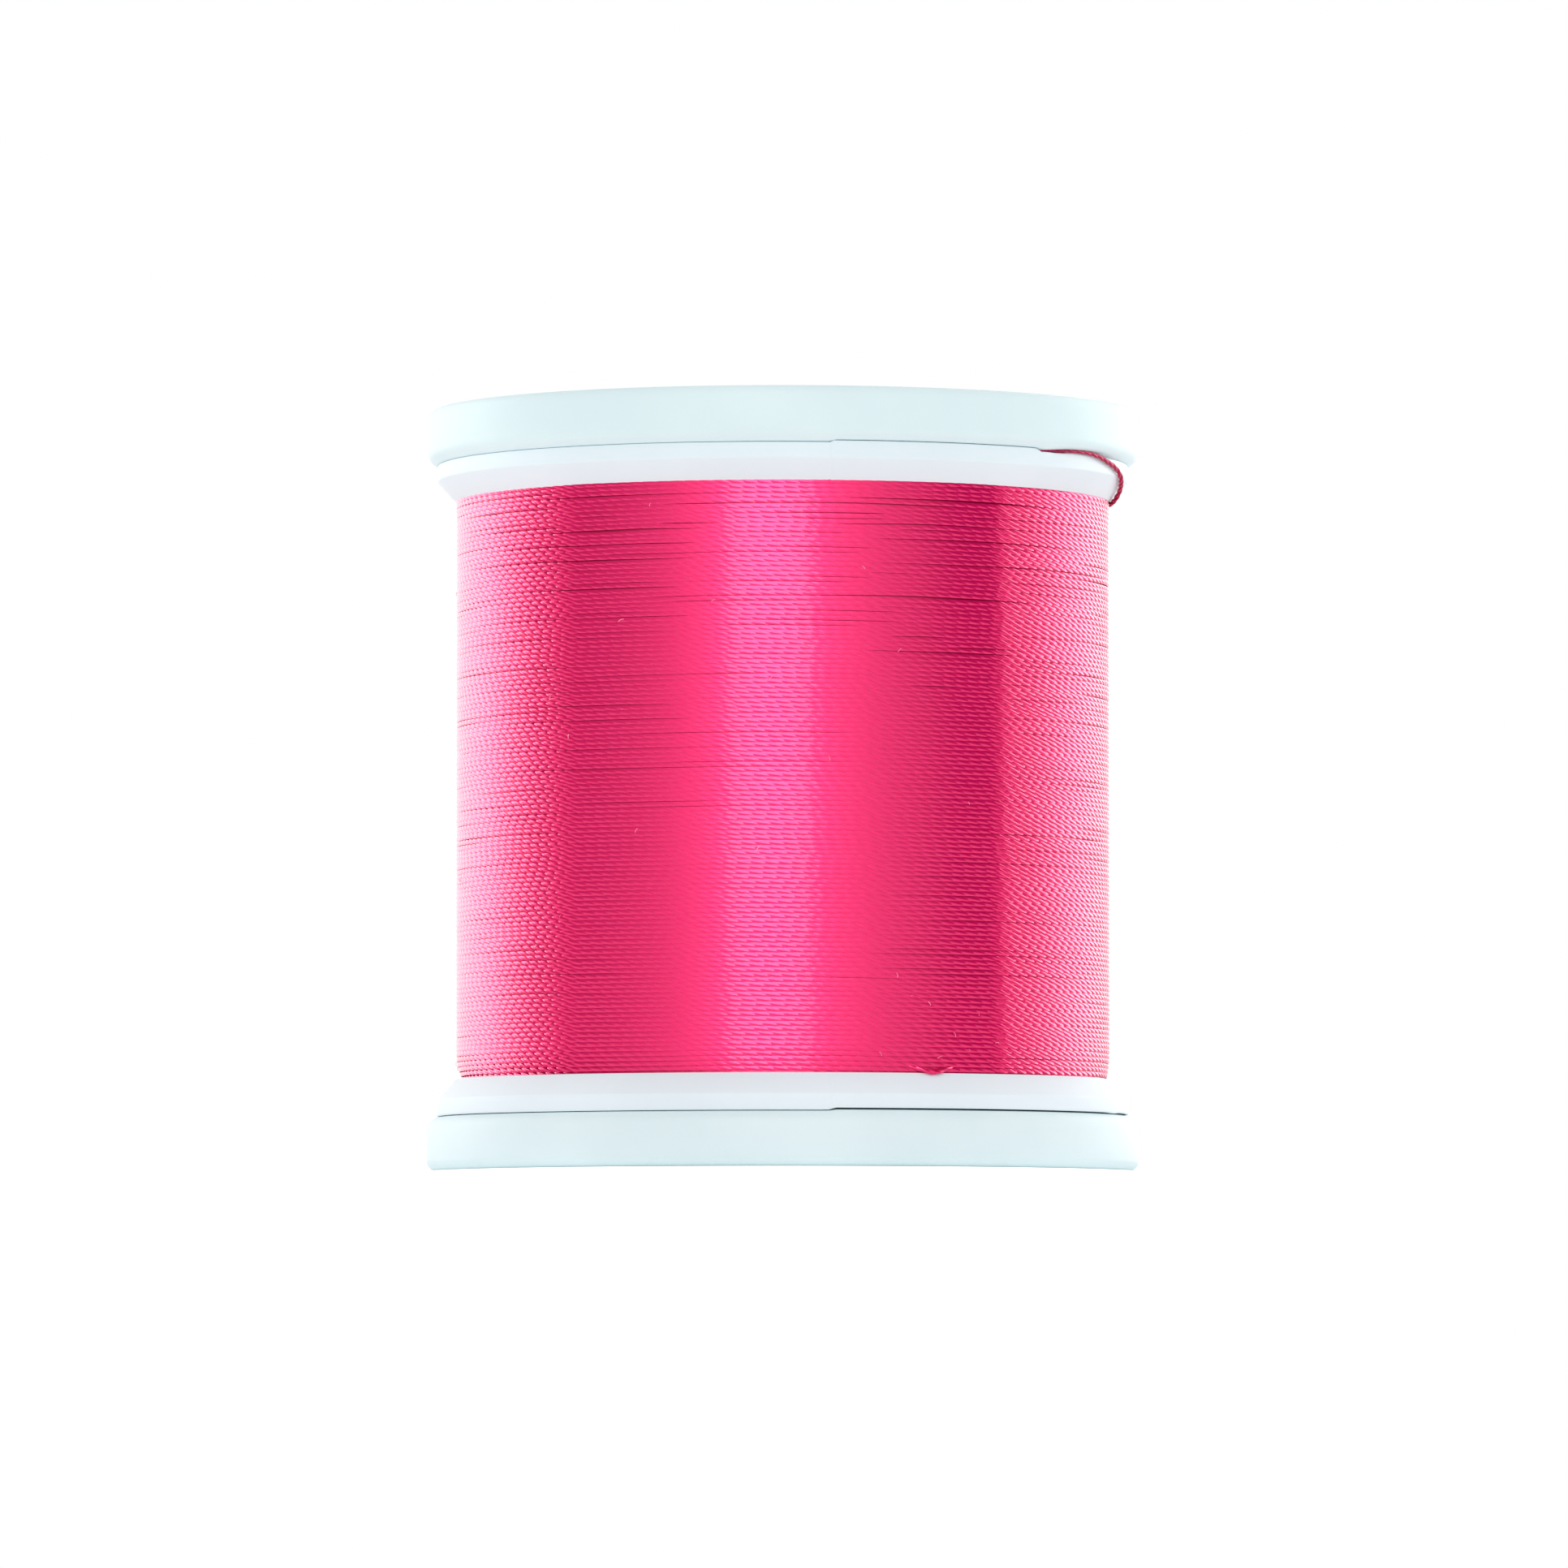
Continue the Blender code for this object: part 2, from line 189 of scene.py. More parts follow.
def tones(positions: Sequence[float], *hex_colours: str) -> Stops:
    """The stops of a colour ramp, from their positions and their sRGB hex colours."""
    return list(zip(positions, map(linear, hex_colours)))


def fill(tree: Tree, node: Node, sockets: dict[object, object]) -> None:
    """Give a node's input sockets their values and links.

    Args:
        tree: The node tree.
        node: The node.
        sockets: By each socket's name or number: a value, a socket, a node whose first output is meant,
            or None to leave it.
    """
    for key, value in sockets.items():
        if isinstance(value, Node):
            value = value.outputs[0]
        if isinstance(value, bpy.types.NodeSocket):
            tree.links.new(value, node.inputs[key])
        elif value is not None:
            node.inputs[key].default_value = value


def add(tree: Tree, kind: str | Op, *inputs: object, stops: Stops = (), **settings: object) -> Node:
    """Add a node to a tree, with its settings, its input values and its links.

    Args:
        tree: The node tree.
        kind: Blender's name of the node type, or an operation.
        inputs: What each input socket in turn gets, or a dict that gives sockets by name or number.
        stops: Position and linear colour of each stop of a colour ramp.
        settings: The node's own properties.

    Returns:
        The new node.
    """
    if isinstance(kind, Op):
        kind, settings["operation"] = kind.value
    node = tree.nodes.new(kind)
    for name, value in settings.items():
        setattr(node, name, value)
    for number, given in enumerate(inputs):
        fill(tree, node, given if isinstance(given, dict) else {number: given})
    if stops:
        elements = node.color_ramp.elements
        while len(elements) < len(stops):
            elements.new(0.5)
        for element, (position, colour) in zip(elements, stops):
            element.position, element.color = position, colour
    return node


def around(angle: float, radius: float, height: float) -> Vector:
    """The point at an angle in degrees, a radius and a height, both in millimetres, in metres."""
    turn = math.radians(angle)
    return Vector((radius * math.sin(turn), -radius * math.cos(turn), height)) * MM


def evenly(count: int, extra: Iterable[float] = ()) -> list[float]:
    """Evenly spread angles round the spool, with extra ones between them."""
    return [360 * step / count - 180 for step in range(count)] + list(extra)


def near(angle: np.ndarray, start: float, end: float, ease: float) -> np.ndarray:
    """Say where an angle lies between two others.

    Args:
        angle: The angles, in degrees.
        start: Where the stretch starts.
        end: Where it ends.
        ease: Over how many degrees it is eased at both.

    Returns:
        1 inside the stretch and 0 outside.
    """
    rise = np.clip((angle - start) / ease + 0.5, 0, 1)
    fall = np.clip((end - angle) / ease + 0.5, 0, 1)
    return rise * rise * (3 - 2 * rise) * fall * fall * (3 - 2 * fall)


def rounded(corners: Sequence[tuple[float, float, float]], steps: int = 5) -> Profile:
    """Round the corners of a closed profile.

    Args:
        corners: Radius, height and rounding of each corner.
        steps: How many parts each rounding is divided into.

    Returns:
        The profile's points, with an arc in place of each corner that has a rounding.
    """
    points: Profile = []
    for number, (r, z, size) in enumerate(corners):
        corner = np.array((r, z))
        if size == 0:
            points.append((r, z))
            continue
        before = np.array(corners[number - 1][:2]) - corner
        after = np.array(corners[(number + 1) % len(corners)][:2]) - corner
        before, after = before / np.linalg.norm(before), after / np.linalg.norm(after)
        half = math.acos(np.clip(before @ after, -1, 1)) / 2
        middle = (before + after) / np.linalg.norm(before + after)
        centre = corner + middle * size / math.sin(half)
        start = corner + before * size / math.tan(half) - centre
        end = corner + after * size / math.tan(half) - centre
        sweep = math.pi - 2 * half
        for step in range(steps + 1):
            share = step / steps
            arm = (math.sin((1 - share) * sweep) * start + math.sin(share * sweep) * end) / math.sin(sweep)
            points.append(tuple(centre + arm))
    return points


def turned(profile: Profile, angles: Iterable[float], reshape: Reshape | None = None) -> Mesh:
    """Turn a closed profile about the spool's axis.

    Args:
        profile: Radius and height of each point, in millimetres.
        angles: The angles in degrees at which the profile is repeated.
        reshape: Takes radii, heights and angles and gives new radii and heights.

    Returns:
        A closed mesh whose faces point outwards.
    """
    turns = np.array(sorted(angles))[:, None]
    radii, heights = (np.broadcast_to(c, (len(turns), len(profile))) for c in np.array(profile).T)
    if reshape:
        radii, heights = reshape(radii, heights, turns)
    turns = np.radians(turns)
    points = np.stack((radii * np.sin(turns), -radii * np.cos(turns), heights), -1).reshape(-1, 3) * MM
    rows, columns = len(turns), len(profile)
    here = np.arange(rows * columns).reshape(rows, columns)
    quads = np.stack((here, np.roll(here, -1, 1), np.roll(here, (-1, -1), (0, 1)), np.roll(here, -1, 0)), -1)
    mesh = bpy.data.meshes.new("turned")
    mesh.from_pydata(points.tolist(), [], quads.reshape(-1, 4).tolist())
    shape = bmesh.new()
    shape.from_mesh(mesh)
    bmesh.ops.recalc_face_normals(shape, faces=shape.faces)
    shape.to_mesh(mesh)
    shape.free()
    return mesh


def mesh_of(shape: bmesh.types.BMesh, name: str) -> Mesh:
    """Write a shape into a new mesh, and free it.

    Args:
        shape: The shape.
        name: The mesh's name.

    Returns:
        The mesh.
    """
    mesh = bpy.data.meshes.new(name)
    shape.to_mesh(mesh)
    shape.free()
    return mesh


def block(size: Sequence[float], centre: Sequence[float]) -> Mesh:
    """Make a block as a tool for cutting and joining.

    Args:
        size: Its three sizes, in millimetres.
        centre: Its middle, in millimetres.

    Returns:
        Its mesh.
    """
    shape = bmesh.new()
    matrix = Matrix.Translation(Vector(centre) * MM) @ Matrix.Diagonal((*[s * MM for s in size], 1))
    bmesh.ops.create_cube(shape, size=1.0, matrix=matrix)
    return mesh_of(shape, "block")


def solid_rod(radius: float, bottom: float, top: float, sides: int) -> Mesh:
    """Make an upright rod on the spool's axis, as a tool for cutting.

    Args:
        radius: Its radius, in millimetres.
        bottom: The height of its lower end, in millimetres.
        top: The height of its upper end, in millimetres.
        sides: How many sides it has.

    Returns:
        Its mesh.
    """
    shape = bmesh.new()
    bmesh.ops.create_cone(
        shape, cap_ends=True, segments=sides, radius1=radius * MM, radius2=radius * MM,
        depth=(top - bottom) * MM, matrix=Matrix.Translation((0, 0, (bottom + top) / 2 * MM)),
    )
    return mesh_of(shape, "rod")


def new_object(name: str, data: bpy.types.ID) -> Object:
    """Put a mesh, curve, lamp or camera into the scene as an object at the origin.

    Args:
        name: The object's name.
        data: What it holds.

    Returns:
        The object.
    """
    piece = bpy.data.objects.new(name, data)
    bpy.context.scene.collection.objects.link(piece)
    return piece


def settled(piece: Object) -> Mesh:
    """Turn what an object's modifiers make into a plain mesh, and remove them.

    Args:
        piece: The object.

    Returns:
        The mesh.
    """
    bpy.context.view_layer.update()
    evaluated = piece.evaluated_get(bpy.context.evaluated_depsgraph_get())
    mesh = bpy.data.meshes.new_from_object(evaluated)
    mesh.name = piece.name
    piece.modifiers.clear()
    return mesh


def combined(mesh: Mesh, tools: Iterable[tuple[str, Mesh]]) -> Mesh:
    """Join tools to a mesh or cut them out of it.

    Args:
        mesh: The closed mesh to start from.
        tools: "UNION" or "DIFFERENCE" with a closed mesh, in their order.

    Returns:
        The mesh that results.
    """
    piece = new_object("combined", mesh)
    helpers = []
    for operation, tool in tools:
        helper = new_object("tool", tool)
        modifier = piece.modifiers.new("combine", "BOOLEAN")
        modifier.operation, modifier.object, modifier.solver = operation, helper, "EXACT"
        helpers.append(helper)
    result = settled(piece)
    for helper in [piece, *helpers]:
        bpy.data.objects.remove(helper)
    return result


def new_tree(name: str, output: str, given: dict[str, object], geometry: str = "") -> tuple[Tree, Adder, Sockets]:
    """Start a Geometry Nodes tree with an input for each given value.

    Args:
        name: The tree's name.
        output: The name of its output.
        given: The named values, which set each input's type.
        geometry: The name of a first input for the object's own geometry, if it uses that.

    Returns:
        The tree, what adds a node to it, and the sockets that its inputs come out of.
    """
    kinds = {int: "NodeSocketInt", float: "NodeSocketFloat"}
    tree = bpy.data.node_groups.new(name, "GeometryNodeTree")
    tree.interface.new_socket(output, in_out="OUTPUT", socket_type="NodeSocketGeometry")
    if geometry:
        tree.interface.new_socket(geometry, in_out="INPUT", socket_type="NodeSocketGeometry")
    for label, value in given.items():
        kind = kinds.get(type(value), "NodeSocketMaterial")
        tree.interface.new_socket(label, in_out="INPUT", socket_type=kind)
    return tree, partial(add, tree), add(tree, "NodeGroupInput").outputs


def end_tree(node: Adder, given: Sockets, made: Node) -> None:
    """End a Geometry Nodes tree with real geometry that has its material.

    Args:
        node: What adds a node to the tree.
        given: The tree's inputs.
        made: The node that gives the geometry.
    """
    made = node("GeometryNodeRealizeInstances", made)
    made = node("GeometryNodeSetMaterial", {"Geometry": made, "Material": given["Material"]})
    node("NodeGroupOutput", made)


def grown(base: Object, tree: Tree, given: dict[str, object]) -> Mesh:
    """Run a Geometry Nodes tree on an object, and keep only the plain mesh that it makes.

    Args:
        base: The object to run it on, which is removed afterwards.
        tree: The tree.
        given: The value of each named input.

    Returns:
        The mesh.
    """
    modifier = base.modifiers.new("grow", "NODES")
    modifier.node_group = tree
    for item in tree.interface.items_tree:
        if item.in_out == "INPUT" and item.name in given:
            modifier[item.identifier] = given[item.name]
    mesh = settled(base)
    bpy.data.objects.remove(base)
    return mesh


def place(
    name: str,
    mesh: Mesh,
    material: Material,
    body: Body,
    nodes: Sequence[str] = (),
    sharp: float | None = 32.0,
) -> Object:
    """Make a finished piece: its material, its shading, the body that it rides on and what it stands for.

    Args:
        name: The piece's name.
        mesh: Its mesh, with its place in its points.
        material: Its finish.
        body: The frame's body that carries it.
        nodes: The CAD nodes that it stands for.
        sharp: The angle in degrees above which an edge stays sharp, or None to keep the mesh's own.

    Returns:
        The piece.
    """
    mesh.name = name
    mesh.materials.clear()
    mesh.materials.append(material)
    if sharp is not None:
        mesh.shade_smooth()
        mesh.set_sharp_from_angle(angle=math.radians(sharp))
    piece = new_object(name, mesh)
    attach(piece, body.value)
    if nodes:
        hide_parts(*nodes)
    log.info("%s: %d faces, rides on %s", name, len(mesh.polygons), body.value)
    return piece


# Finishes


def new_material(name: str) -> tuple[Material, Adder, Callable[[dict[object, object]], None]]:
    """Start a material.

    Args:
        name: Its name.

    Returns:
        The material, what adds a node to its tree, and what gives its principled surface its inputs.
    """
    material = bpy.data.materials.new(name)
    material.use_nodes = True
    tree = material.node_tree
    return material, partial(add, tree), partial(fill, tree, tree.nodes["Principled BSDF"])


@dataclass(frozen=True)
class MouldedPolystyrene:
    """Injection-moulded white polystyrene: cool white, satin, with faint flow marks and a fine moulded grain.

    Its gloss is soft, and the pigment lies unevenly by a shade where the melt flowed.
    """

    name: str = "injection_moulded_polystyrene"
    colour: str = "E3F5F8"
    shade: str = "DEF1F4"
    flow_mark: float = 7.0
    flow_spread: tuple[float, float] = (0.38, 0.62)
    grain: float = 0.12
    grain_depth: float = 0.004
    grain_strength: float = 0.5
    roughness: tuple[float, float] = (0.38, 0.48)
    ior: float = 1.5
    gloss: float = 0.15

    def build(self) -> Material:
        """Build the material.

        Returns:
            The material.
        """
        material, node, dress = new_material(self.name)
        spot = node("ShaderNodeTexCoord").outputs["Object"]
        flow = node(NOISE, {"Vector": spot, "Scale": 1 / (self.flow_mark * MM), "Detail": 3.0})
        grain = node(NOISE, {"Vector": spot, "Scale": 1 / (self.grain * MM), "Detail": 2.0})
        depth = {"Height": grain, "Distance": self.grain_depth * MM, "Strength": self.grain_strength}
        dress({
            "Base Color": node(RAMP, flow, stops=tones(self.flow_spread, self.shade, self.colour)),
            "Roughness": node(MAP_RANGE, flow, *NOISE_SPREAD, *self.roughness),
            "Normal": node(BUMP, depth),
            "IOR": self.ior,
            "Specular IOR Level": self.gloss,
        })
        return material


@dataclass(frozen=True)
class FilamentThread:
    """Dyed trilobal polyester filament in two plies: a silky pink thread that gleams across its strands.

    Light goes into the clear filaments and comes back tinted, so that the gleam is pink at its middle and
    white only where the thread is seen from the side. The strands run along each ply.
    """

    name: str = "dyed_polyester_filament"
    colour: str = "EE1267"
    # The base colour painted into the ply creases: painted light where it is brighter than the colour, as on the
    # winding, and painted shade where it is darker, as on the loose end
    deep: str = "F51A6F"
    gleam: str = "FFC8D0"
    filament: float = 0.02
    half_round: float = 0.3
    strand_length: float = 1.4
    dye_patch: float = 3.5
    crease_shade: float = 0.35
    crown_from: float = 0.75
    streak: float = 0.16
    patch: float = 0.1
    roughness: tuple[float, float] = (0.24, 0.32)
    filament_depth: float = 0.25
    filament_strength: float = 0.35
    ior: float = 1.6
    metallic: float = 0.56
    surface_gloss: float = 0.08
    clear_skin: float = 0.85
    skin_ior: float = 1.5
    skin_roughness: float = 0.08

    def build(self) -> Material:
        """Build the material.

        Returns:
            The material.
        """
        material, node, dress = new_material(self.name)
        strand = node("ShaderNodeAttribute", attribute_name=STRAND).outputs["Vector"]
        ply = node("ShaderNodeSeparateXYZ", strand)
        # A filament of 0.02 mm is a fifteenth of a ply's half round
        across = self.half_round / self.filament * 2
        stretched = node(Op.VECTOR_MULTIPLY, strand, (across, 1 / self.strand_length, 1.0))
        filaments = node(NOISE, {"Vector": stretched, "Scale": 1.0, "Detail": 2.0})
        spot = node("ShaderNodeTexCoord").outputs["Object"]
        dye = node(NOISE, {"Vector": spot, "Scale": 1 / (self.dye_patch * MM), "Detail": 2.0})
        # Painted light and shade in the ply creases: there the base colour turns towards the painted crease tone, a
        # brighter pink on the winding (painted light that offsets the creases' shade) and a darker one on the loose
        # end (painted shade)
        crown = node(Op.ABSOLUTE, node(Op.COSINE, node(Op.MULTIPLY, ply.outputs[0], math.tau)))
        lit = node(MAP_RANGE, crown, 0.0, self.crown_from, self.crease_shade, 1.0)
        streaks = node(MAP_RANGE, filaments, *NOISE_SPREAD, -self.streak, self.streak)
        patches = node(MAP_RANGE, dye, *NOISE_SPREAD, -self.patch, self.patch)
        share = node(Op.ADD, node(Op.ADD, lit, streaks), patches, use_clamp=True)
        depth = {
            "Height": filaments,
            "Distance": self.filament_depth * self.filament * MM,
            "Strength": self.filament_strength,
        }
        dress({
            "Base Color": node(RAMP, share, stops=tones((0.0, 1.0), self.deep, self.colour)),
            "Roughness": node(MAP_RANGE, filaments, *NOISE_SPREAD, *self.roughness),
            "Normal": node(BUMP, depth),
            "IOR": self.ior,
            "Metallic": self.metallic,
            "Specular Tint": linear(self.gleam),
            "Specular IOR Level": self.surface_gloss,
            # The skin is weak when seen straight on and strong from the side
            "Coat Weight": self.clear_skin,
            "Coat IOR": self.skin_ior,
            "Coat Roughness": self.skin_roughness,
        })
        return material


@dataclass(frozen=True)
class UncoatedPaper:
    """Uncoated pressed paper: warm white and dull, with its fibres just showing."""

    name: str = "uncoated_paper"
    colour: str = "F0EFEA"
    shade: str = "E7E5DE"
    fibre: float = 0.25
    fibre_bend: float = 1.5
    fibre_depth: float = 0.02
    fibre_strength: float = 0.8
    cloud: float = 2.5
    cloud_spread: tuple[float, float] = (0.35, 0.6)
    roughness: tuple[float, float] = (0.85, 0.95)
    gloss: float = 0.25

    def build(self) -> Material:
        """Build the material.

        Returns:
            The material.
        """
        material, node, dress = new_material(self.name)
        spot = node("ShaderNodeTexCoord").outputs["Object"]
        fine = {"Vector": spot, "Scale": 1 / (self.fibre * MM), "Detail": 4.0, "Distortion": self.fibre_bend}
        fibres = node(NOISE, fine)
        clouds = node(NOISE, {"Vector": spot, "Scale": 1 / (self.cloud * MM), "Detail": 2.0})
        share = node(Op.MULTIPLY, node(Op.ADD, fibres, clouds), 0.5)
        depth = {"Height": fibres, "Distance": self.fibre_depth * MM, "Strength": self.fibre_strength}
        dress({
            "Base Color": node(RAMP, share, stops=tones(self.cloud_spread, self.shade, self.colour)),
            "Roughness": node(MAP_RANGE, fibres, *NOISE_SPREAD, *self.roughness),
            "Normal": node(BUMP, depth),
            "Specular IOR Level": self.gloss,
        })
        return material


@dataclass(frozen=True)
class LooseFluff:
    """Stray filament ends and lint: thin fibres whose pale pink is painted light, for the light that goes through
    them and off them, so that they show as light specks.
    """

    name: str = "loose_filament_fluff"
    colour: str = "FFB9D0"
    shade: str = "F77FA8"
    patch: float = 1.2
    patch_spread: tuple[float, float] = (0.4, 0.6)
    kink: float = 0.05
    kink_depth: float = 0.1
    kink_strength: float = 0.5
    roughness: tuple[float, float] = (0.35, 0.55)

    def build(self) -> Material:
        """Build the material.

        Returns:
            The material.
        """
        material, node, dress = new_material(self.name)
        spot = node("ShaderNodeTexCoord").outputs["Object"]
        patches = node(NOISE, {"Vector": spot, "Scale": 1 / (self.patch * MM)})
        kinks = node(NOISE, {"Vector": spot, "Scale": 1 / (self.kink * MM), "Detail": 1.0})
        depth = {"Height": kinks, "Distance": self.kink_depth * self.kink * MM, "Strength": self.kink_strength}
        dress({
            "Base Color": node(RAMP, patches, stops=tones(self.patch_spread, self.shade, self.colour)),
            "Roughness": node(MAP_RANGE, kinks, *NOISE_SPREAD, *self.roughness),
            "Normal": node(BUMP, depth),
        })
        return material


# The moulded parts


@dataclass
class SpoolBody:
    """The moulded body: barrel, flanges with their rims and slopes, guide tube, ribs and ledges.

    The lips give the height of each slit's lip by the angle. The mould's right half sits a few hundredths
    higher than its left, so that the slits change at the parting line, and the upper lip is pressed down
    where the thread goes in.
    """

    plastic: Material
    parting_angle: float = 8.0
    parting_width: float = 0.12
    parting_depth: float = 0.02
    lip: float = 13.76
    lip_slant: float = 0.02
    lip_height: float = 0.1
    upper_lip: Pairs = (
        (-20.0, 0.288), (7.7, 0.278), (8.3, 0.345), (46.2, 0.345), (46.8, 0.22), (52.0, 0.22), (56.0, 0.288),
    )
    lower_lip: Pairs = (
        (-172.6, 0.235), (-171.4, 0.315), (7.4, 0.315), (8.6, 0.23), (68.0, 0.24), (72.0, 0.275), (76.0, 0.235),
    )
    rim: float = 0.34
    ledge_depth: float = 1.6
    ledge_height: float = 0.8
    ledge_slope: float = 0.5
    rib: float = 0.8
    rib_inset: float = 0.85
    rib_overlap: float = 0.6
    tube_overlap: float = 0.6
    sides: int = 288
    bore_sides: int = 96

    def profile(self) -> Profile:
        """Draw the barrel's wall with its flanges.

        Returns:
            A closed profile from the upper lip down the outside.
        """
        s = SIZES
        ledge_low = s.body_top - self.ledge_depth
        ledge_top = ledge_low + self.ledge_height
        upper_out = [
            (self.lip, s.body_top, 0),
            (self.lip + self.lip_slant, s.body_top + self.lip_height, 0),
            (s.flange, s.body_top + self.lip_height, 0.03),
            (s.flange, s.body_top - self.rim, 0.12),
            (s.winding, s.winding_top, 0.02),
            (s.barrel, s.winding_top, 0.1),
        ]
        upper_in = [
            (s.barrel_inner, ledge_low, 0.05),
            (s.ledge, ledge_low, 0.05),
            (s.ledge, ledge_top, 0.05),
            (s.barrel_inner, ledge_top + self.ledge_slope, 0.05),
            (s.barrel_inner, s.body_top, 0.08),
        ]
        flip = s.body_foot + s.body_top
        lower_out = [(r, flip - z, size) for r, z, size in reversed(upper_out)]
        lower_in = [(r, flip - z, size) for r, z, size in reversed(upper_in)]
        return rounded(upper_out + lower_out + lower_in + upper_in, 4)

    def reshape(self, r: np.ndarray, z: np.ndarray, angle: np.ndarray) -> tuple[np.ndarray, np.ndarray]:
        """Give the lips their heights round the spool, and the flanges their parting line.

        Args:
            r: The points' radii.
            z: Their heights.
            angle: Their angles.

        Returns:
            The new radii and heights.
        """
        s = SIZES
        upper = np.interp(angle, *zip(*self.upper_lip))
        lower = np.interp(angle, *zip(*self.lower_lip))
        z = np.where(z > s.body_top, s.body_top + (z - s.body_top) / self.lip_height * upper, z)
        z = np.where(z < s.body_foot, s.body_foot + (z - s.body_foot) / self.lip_height * lower, z)
        width, seam = self.parting_width, 0.0
        for middle in (self.parting_angle, self.parting_angle - 180):
            seam = seam + near(angle, middle - width, middle + width, width)
        return r - self.parting_depth * seam * (r > s.winding), z

    def build(self) -> None:
        """Build the body and put it in place of its CAD node."""
        s = SIZES
        lines = [self.parting_angle + turn + step for turn in (0, -180) for step in (-0.3, -0.1, 0.1, 0.3)]
        shell = turned(self.profile(), evenly(self.sides, lines), self.reshape)
        low, high = s.body_foot + self.rib_inset, s.body_top - self.rib_inset
        span, centre = 2 * (s.barrel_inner + self.rib_overlap), (0, 0, (low + high) / 2)
        tube = [
            (s.bore - self.tube_overlap, s.body_foot, 0),
            (s.guide_tube, s.body_foot, 0.1),
            (s.guide_tube, s.body_top, 0.1),
            (s.bore - self.tube_overlap, s.body_top, 0),
        ]
        mesh = combined(
            shell,
            [
                ("UNION", block((self.rib, span, high - low), centre)),
                ("UNION", block((span, self.rib, high - low), centre)),
                ("UNION", turned(rounded(tube, 4), evenly(self.bore_sides))),
                ("DIFFERENCE", solid_rod(s.bore, s.body_foot - 1, s.body_top + 1, self.bore_sides)),
            ],
        )
        place("moulded_body", mesh, self.plastic, Body.SPOOL, ["spool_body"])


@dataclass
class SnapCap:
    """A cap with its skirt, recessed plate, collar and four hooked legs.

    The edge shift says by the angle how far the slit's edge is drawn back, where the other half of the
    body's mould or the thread pushes it.
    """

    end: End
    plastic: Material
    skirt_wall: float = 1.1
    rim_width: float = 1.4
    recess: float = 0.35
    plate_under: float = 1.25
    collar_depth: float = 2.4
    outer_rounding: float = 0.4
    slit_rounding: float = 0.55
    leg_root: float = 3.0
    hook_top: float = 6.7
    hook_flat: float = 0.4
    hook_taper: float = 0.9
    leg_slot: float = 1.5
    slot_length: float = 16.0
    slot_depth: float = 12.0
    shifted_from: float = 13.0
    edge_shift: Pairs = (
        (7.7, 0.0), (8.3, 0.07), (46.2, 0.07), (46.8, 0.0), (48.5, 0.0), (54.0, 0.06), (64.0, 0.06), (69.0, 0.0),
    )
    sides: int = 288

    def profile(self) -> Profile:
        """Draw the cap by its depth below the outer face, with the legs as a whole ring.

        Returns:
            A closed profile.
        """
        s = SIZES
        leg_end = self.hook_top + self.hook_flat + self.hook_taper
        recess = s.cap - self.rim_width
        skirt = s.cap - self.skirt_wall
        corners = [
            (recess, 0, 0.12),
            (s.cap, 0, self.outer_rounding),
            (s.cap, s.cap_height, self.slit_rounding),
            (skirt, s.cap_height, 0.1),
            (skirt, self.plate_under, 0.1),
            (s.leg_outer, self.plate_under, 0.15),
            (s.leg_outer, self.hook_top, 0.05),
            (s.hook, self.hook_top, 0.06),
            (s.hook, self.hook_top + self.hook_flat, 0.1),
            (s.leg_outer, leg_end, 0.1),
            (s.leg_inner, leg_end, 0.1),
            (s.leg_inner, self.plate_under, 0.15),
            (s.guide_tube, self.plate_under, 0.15),
            (s.guide_tube, self.collar_depth, 0.1),
            (s.bore, self.collar_depth, 0.1),
            (s.bore, self.recess, 0.15),
            (recess, self.recess, 0.06),
        ]
        return rounded(corners, 6)

    def reshape(self, r: np.ndarray, z: np.ndarray, angle: np.ndarray) -> tuple[np.ndarray, np.ndarray]:
        """Draw the slit's edge back a little.

        Args:
            r: The points' radii.
            z: Their heights.
            angle: Their angles.

        Returns:
            The radii as they were, and the new heights.
        """
        shift = np.interp(angle, *zip(*self.edge_shift)) * (r > self.shifted_from)
        share = np.clip((z - (SIZES.cap_height - self.slit_rounding)) / self.slit_rounding, 0, 1)
        return r, z - shift * share

    def build(self) -> None:
        """Build the cap and put it in place of its CAD node."""
        name, body, node, face, inwards = self.end.value
        ring = turned(self.profile(), evenly(self.sides), self.reshape)
        middle = (0, 0, self.leg_root + self.slot_depth / 2)
        slots = [(self.leg_slot, self.slot_length), (self.slot_length, self.leg_slot)]
        cuts = [("DIFFERENCE", block((*slot, self.slot_depth), middle)) for slot in slots]
        mesh = combined(ring, cuts)
        mesh.transform(Matrix.Translation((0, 0, face * MM)) @ Matrix.Diagonal((1, 1, inwards, 1)))
        if inwards < 0:
            mesh.flip_normals()
        place(f"{name}_snap_cap", mesh, self.plastic, body, [f"{node}_cap"])


@dataclass
class PaperLabel:
    """A bare round paper label in a cap's recess."""

    end: End
    paper: Material
    inner: float = 4.1
    outer: float = 12.7
    low: float = 0.21
    high: float = 0.33
    rounding: float = 0.03
    sides: int = 192

    def build(self) -> None:
        """Build the label and put it in place of its CAD node."""
        name, body, node, face, inwards = self.end.value
        corners = [(self.inner, self.low), (self.outer, self.low), (self.outer, self.high), (self.inner, self.high)]
        outline = rounded([(r, z, self.rounding) for r, z in corners], 2)
        mesh = turned([(r, face + inwards * z) for r, z in outline], evenly(self.sides))
        place(f"{name}_paper_label", mesh, self.paper, body, [f"{node}_label"])


# The thread


@dataclass(frozen=True)
class Gap:
    """A streak where two neighbouring turns stand apart.

    Its angle and half length are in degrees, and its height and opening in millimetres.
    """

    angle: float
    height: float
    half_length: float
    opening: float


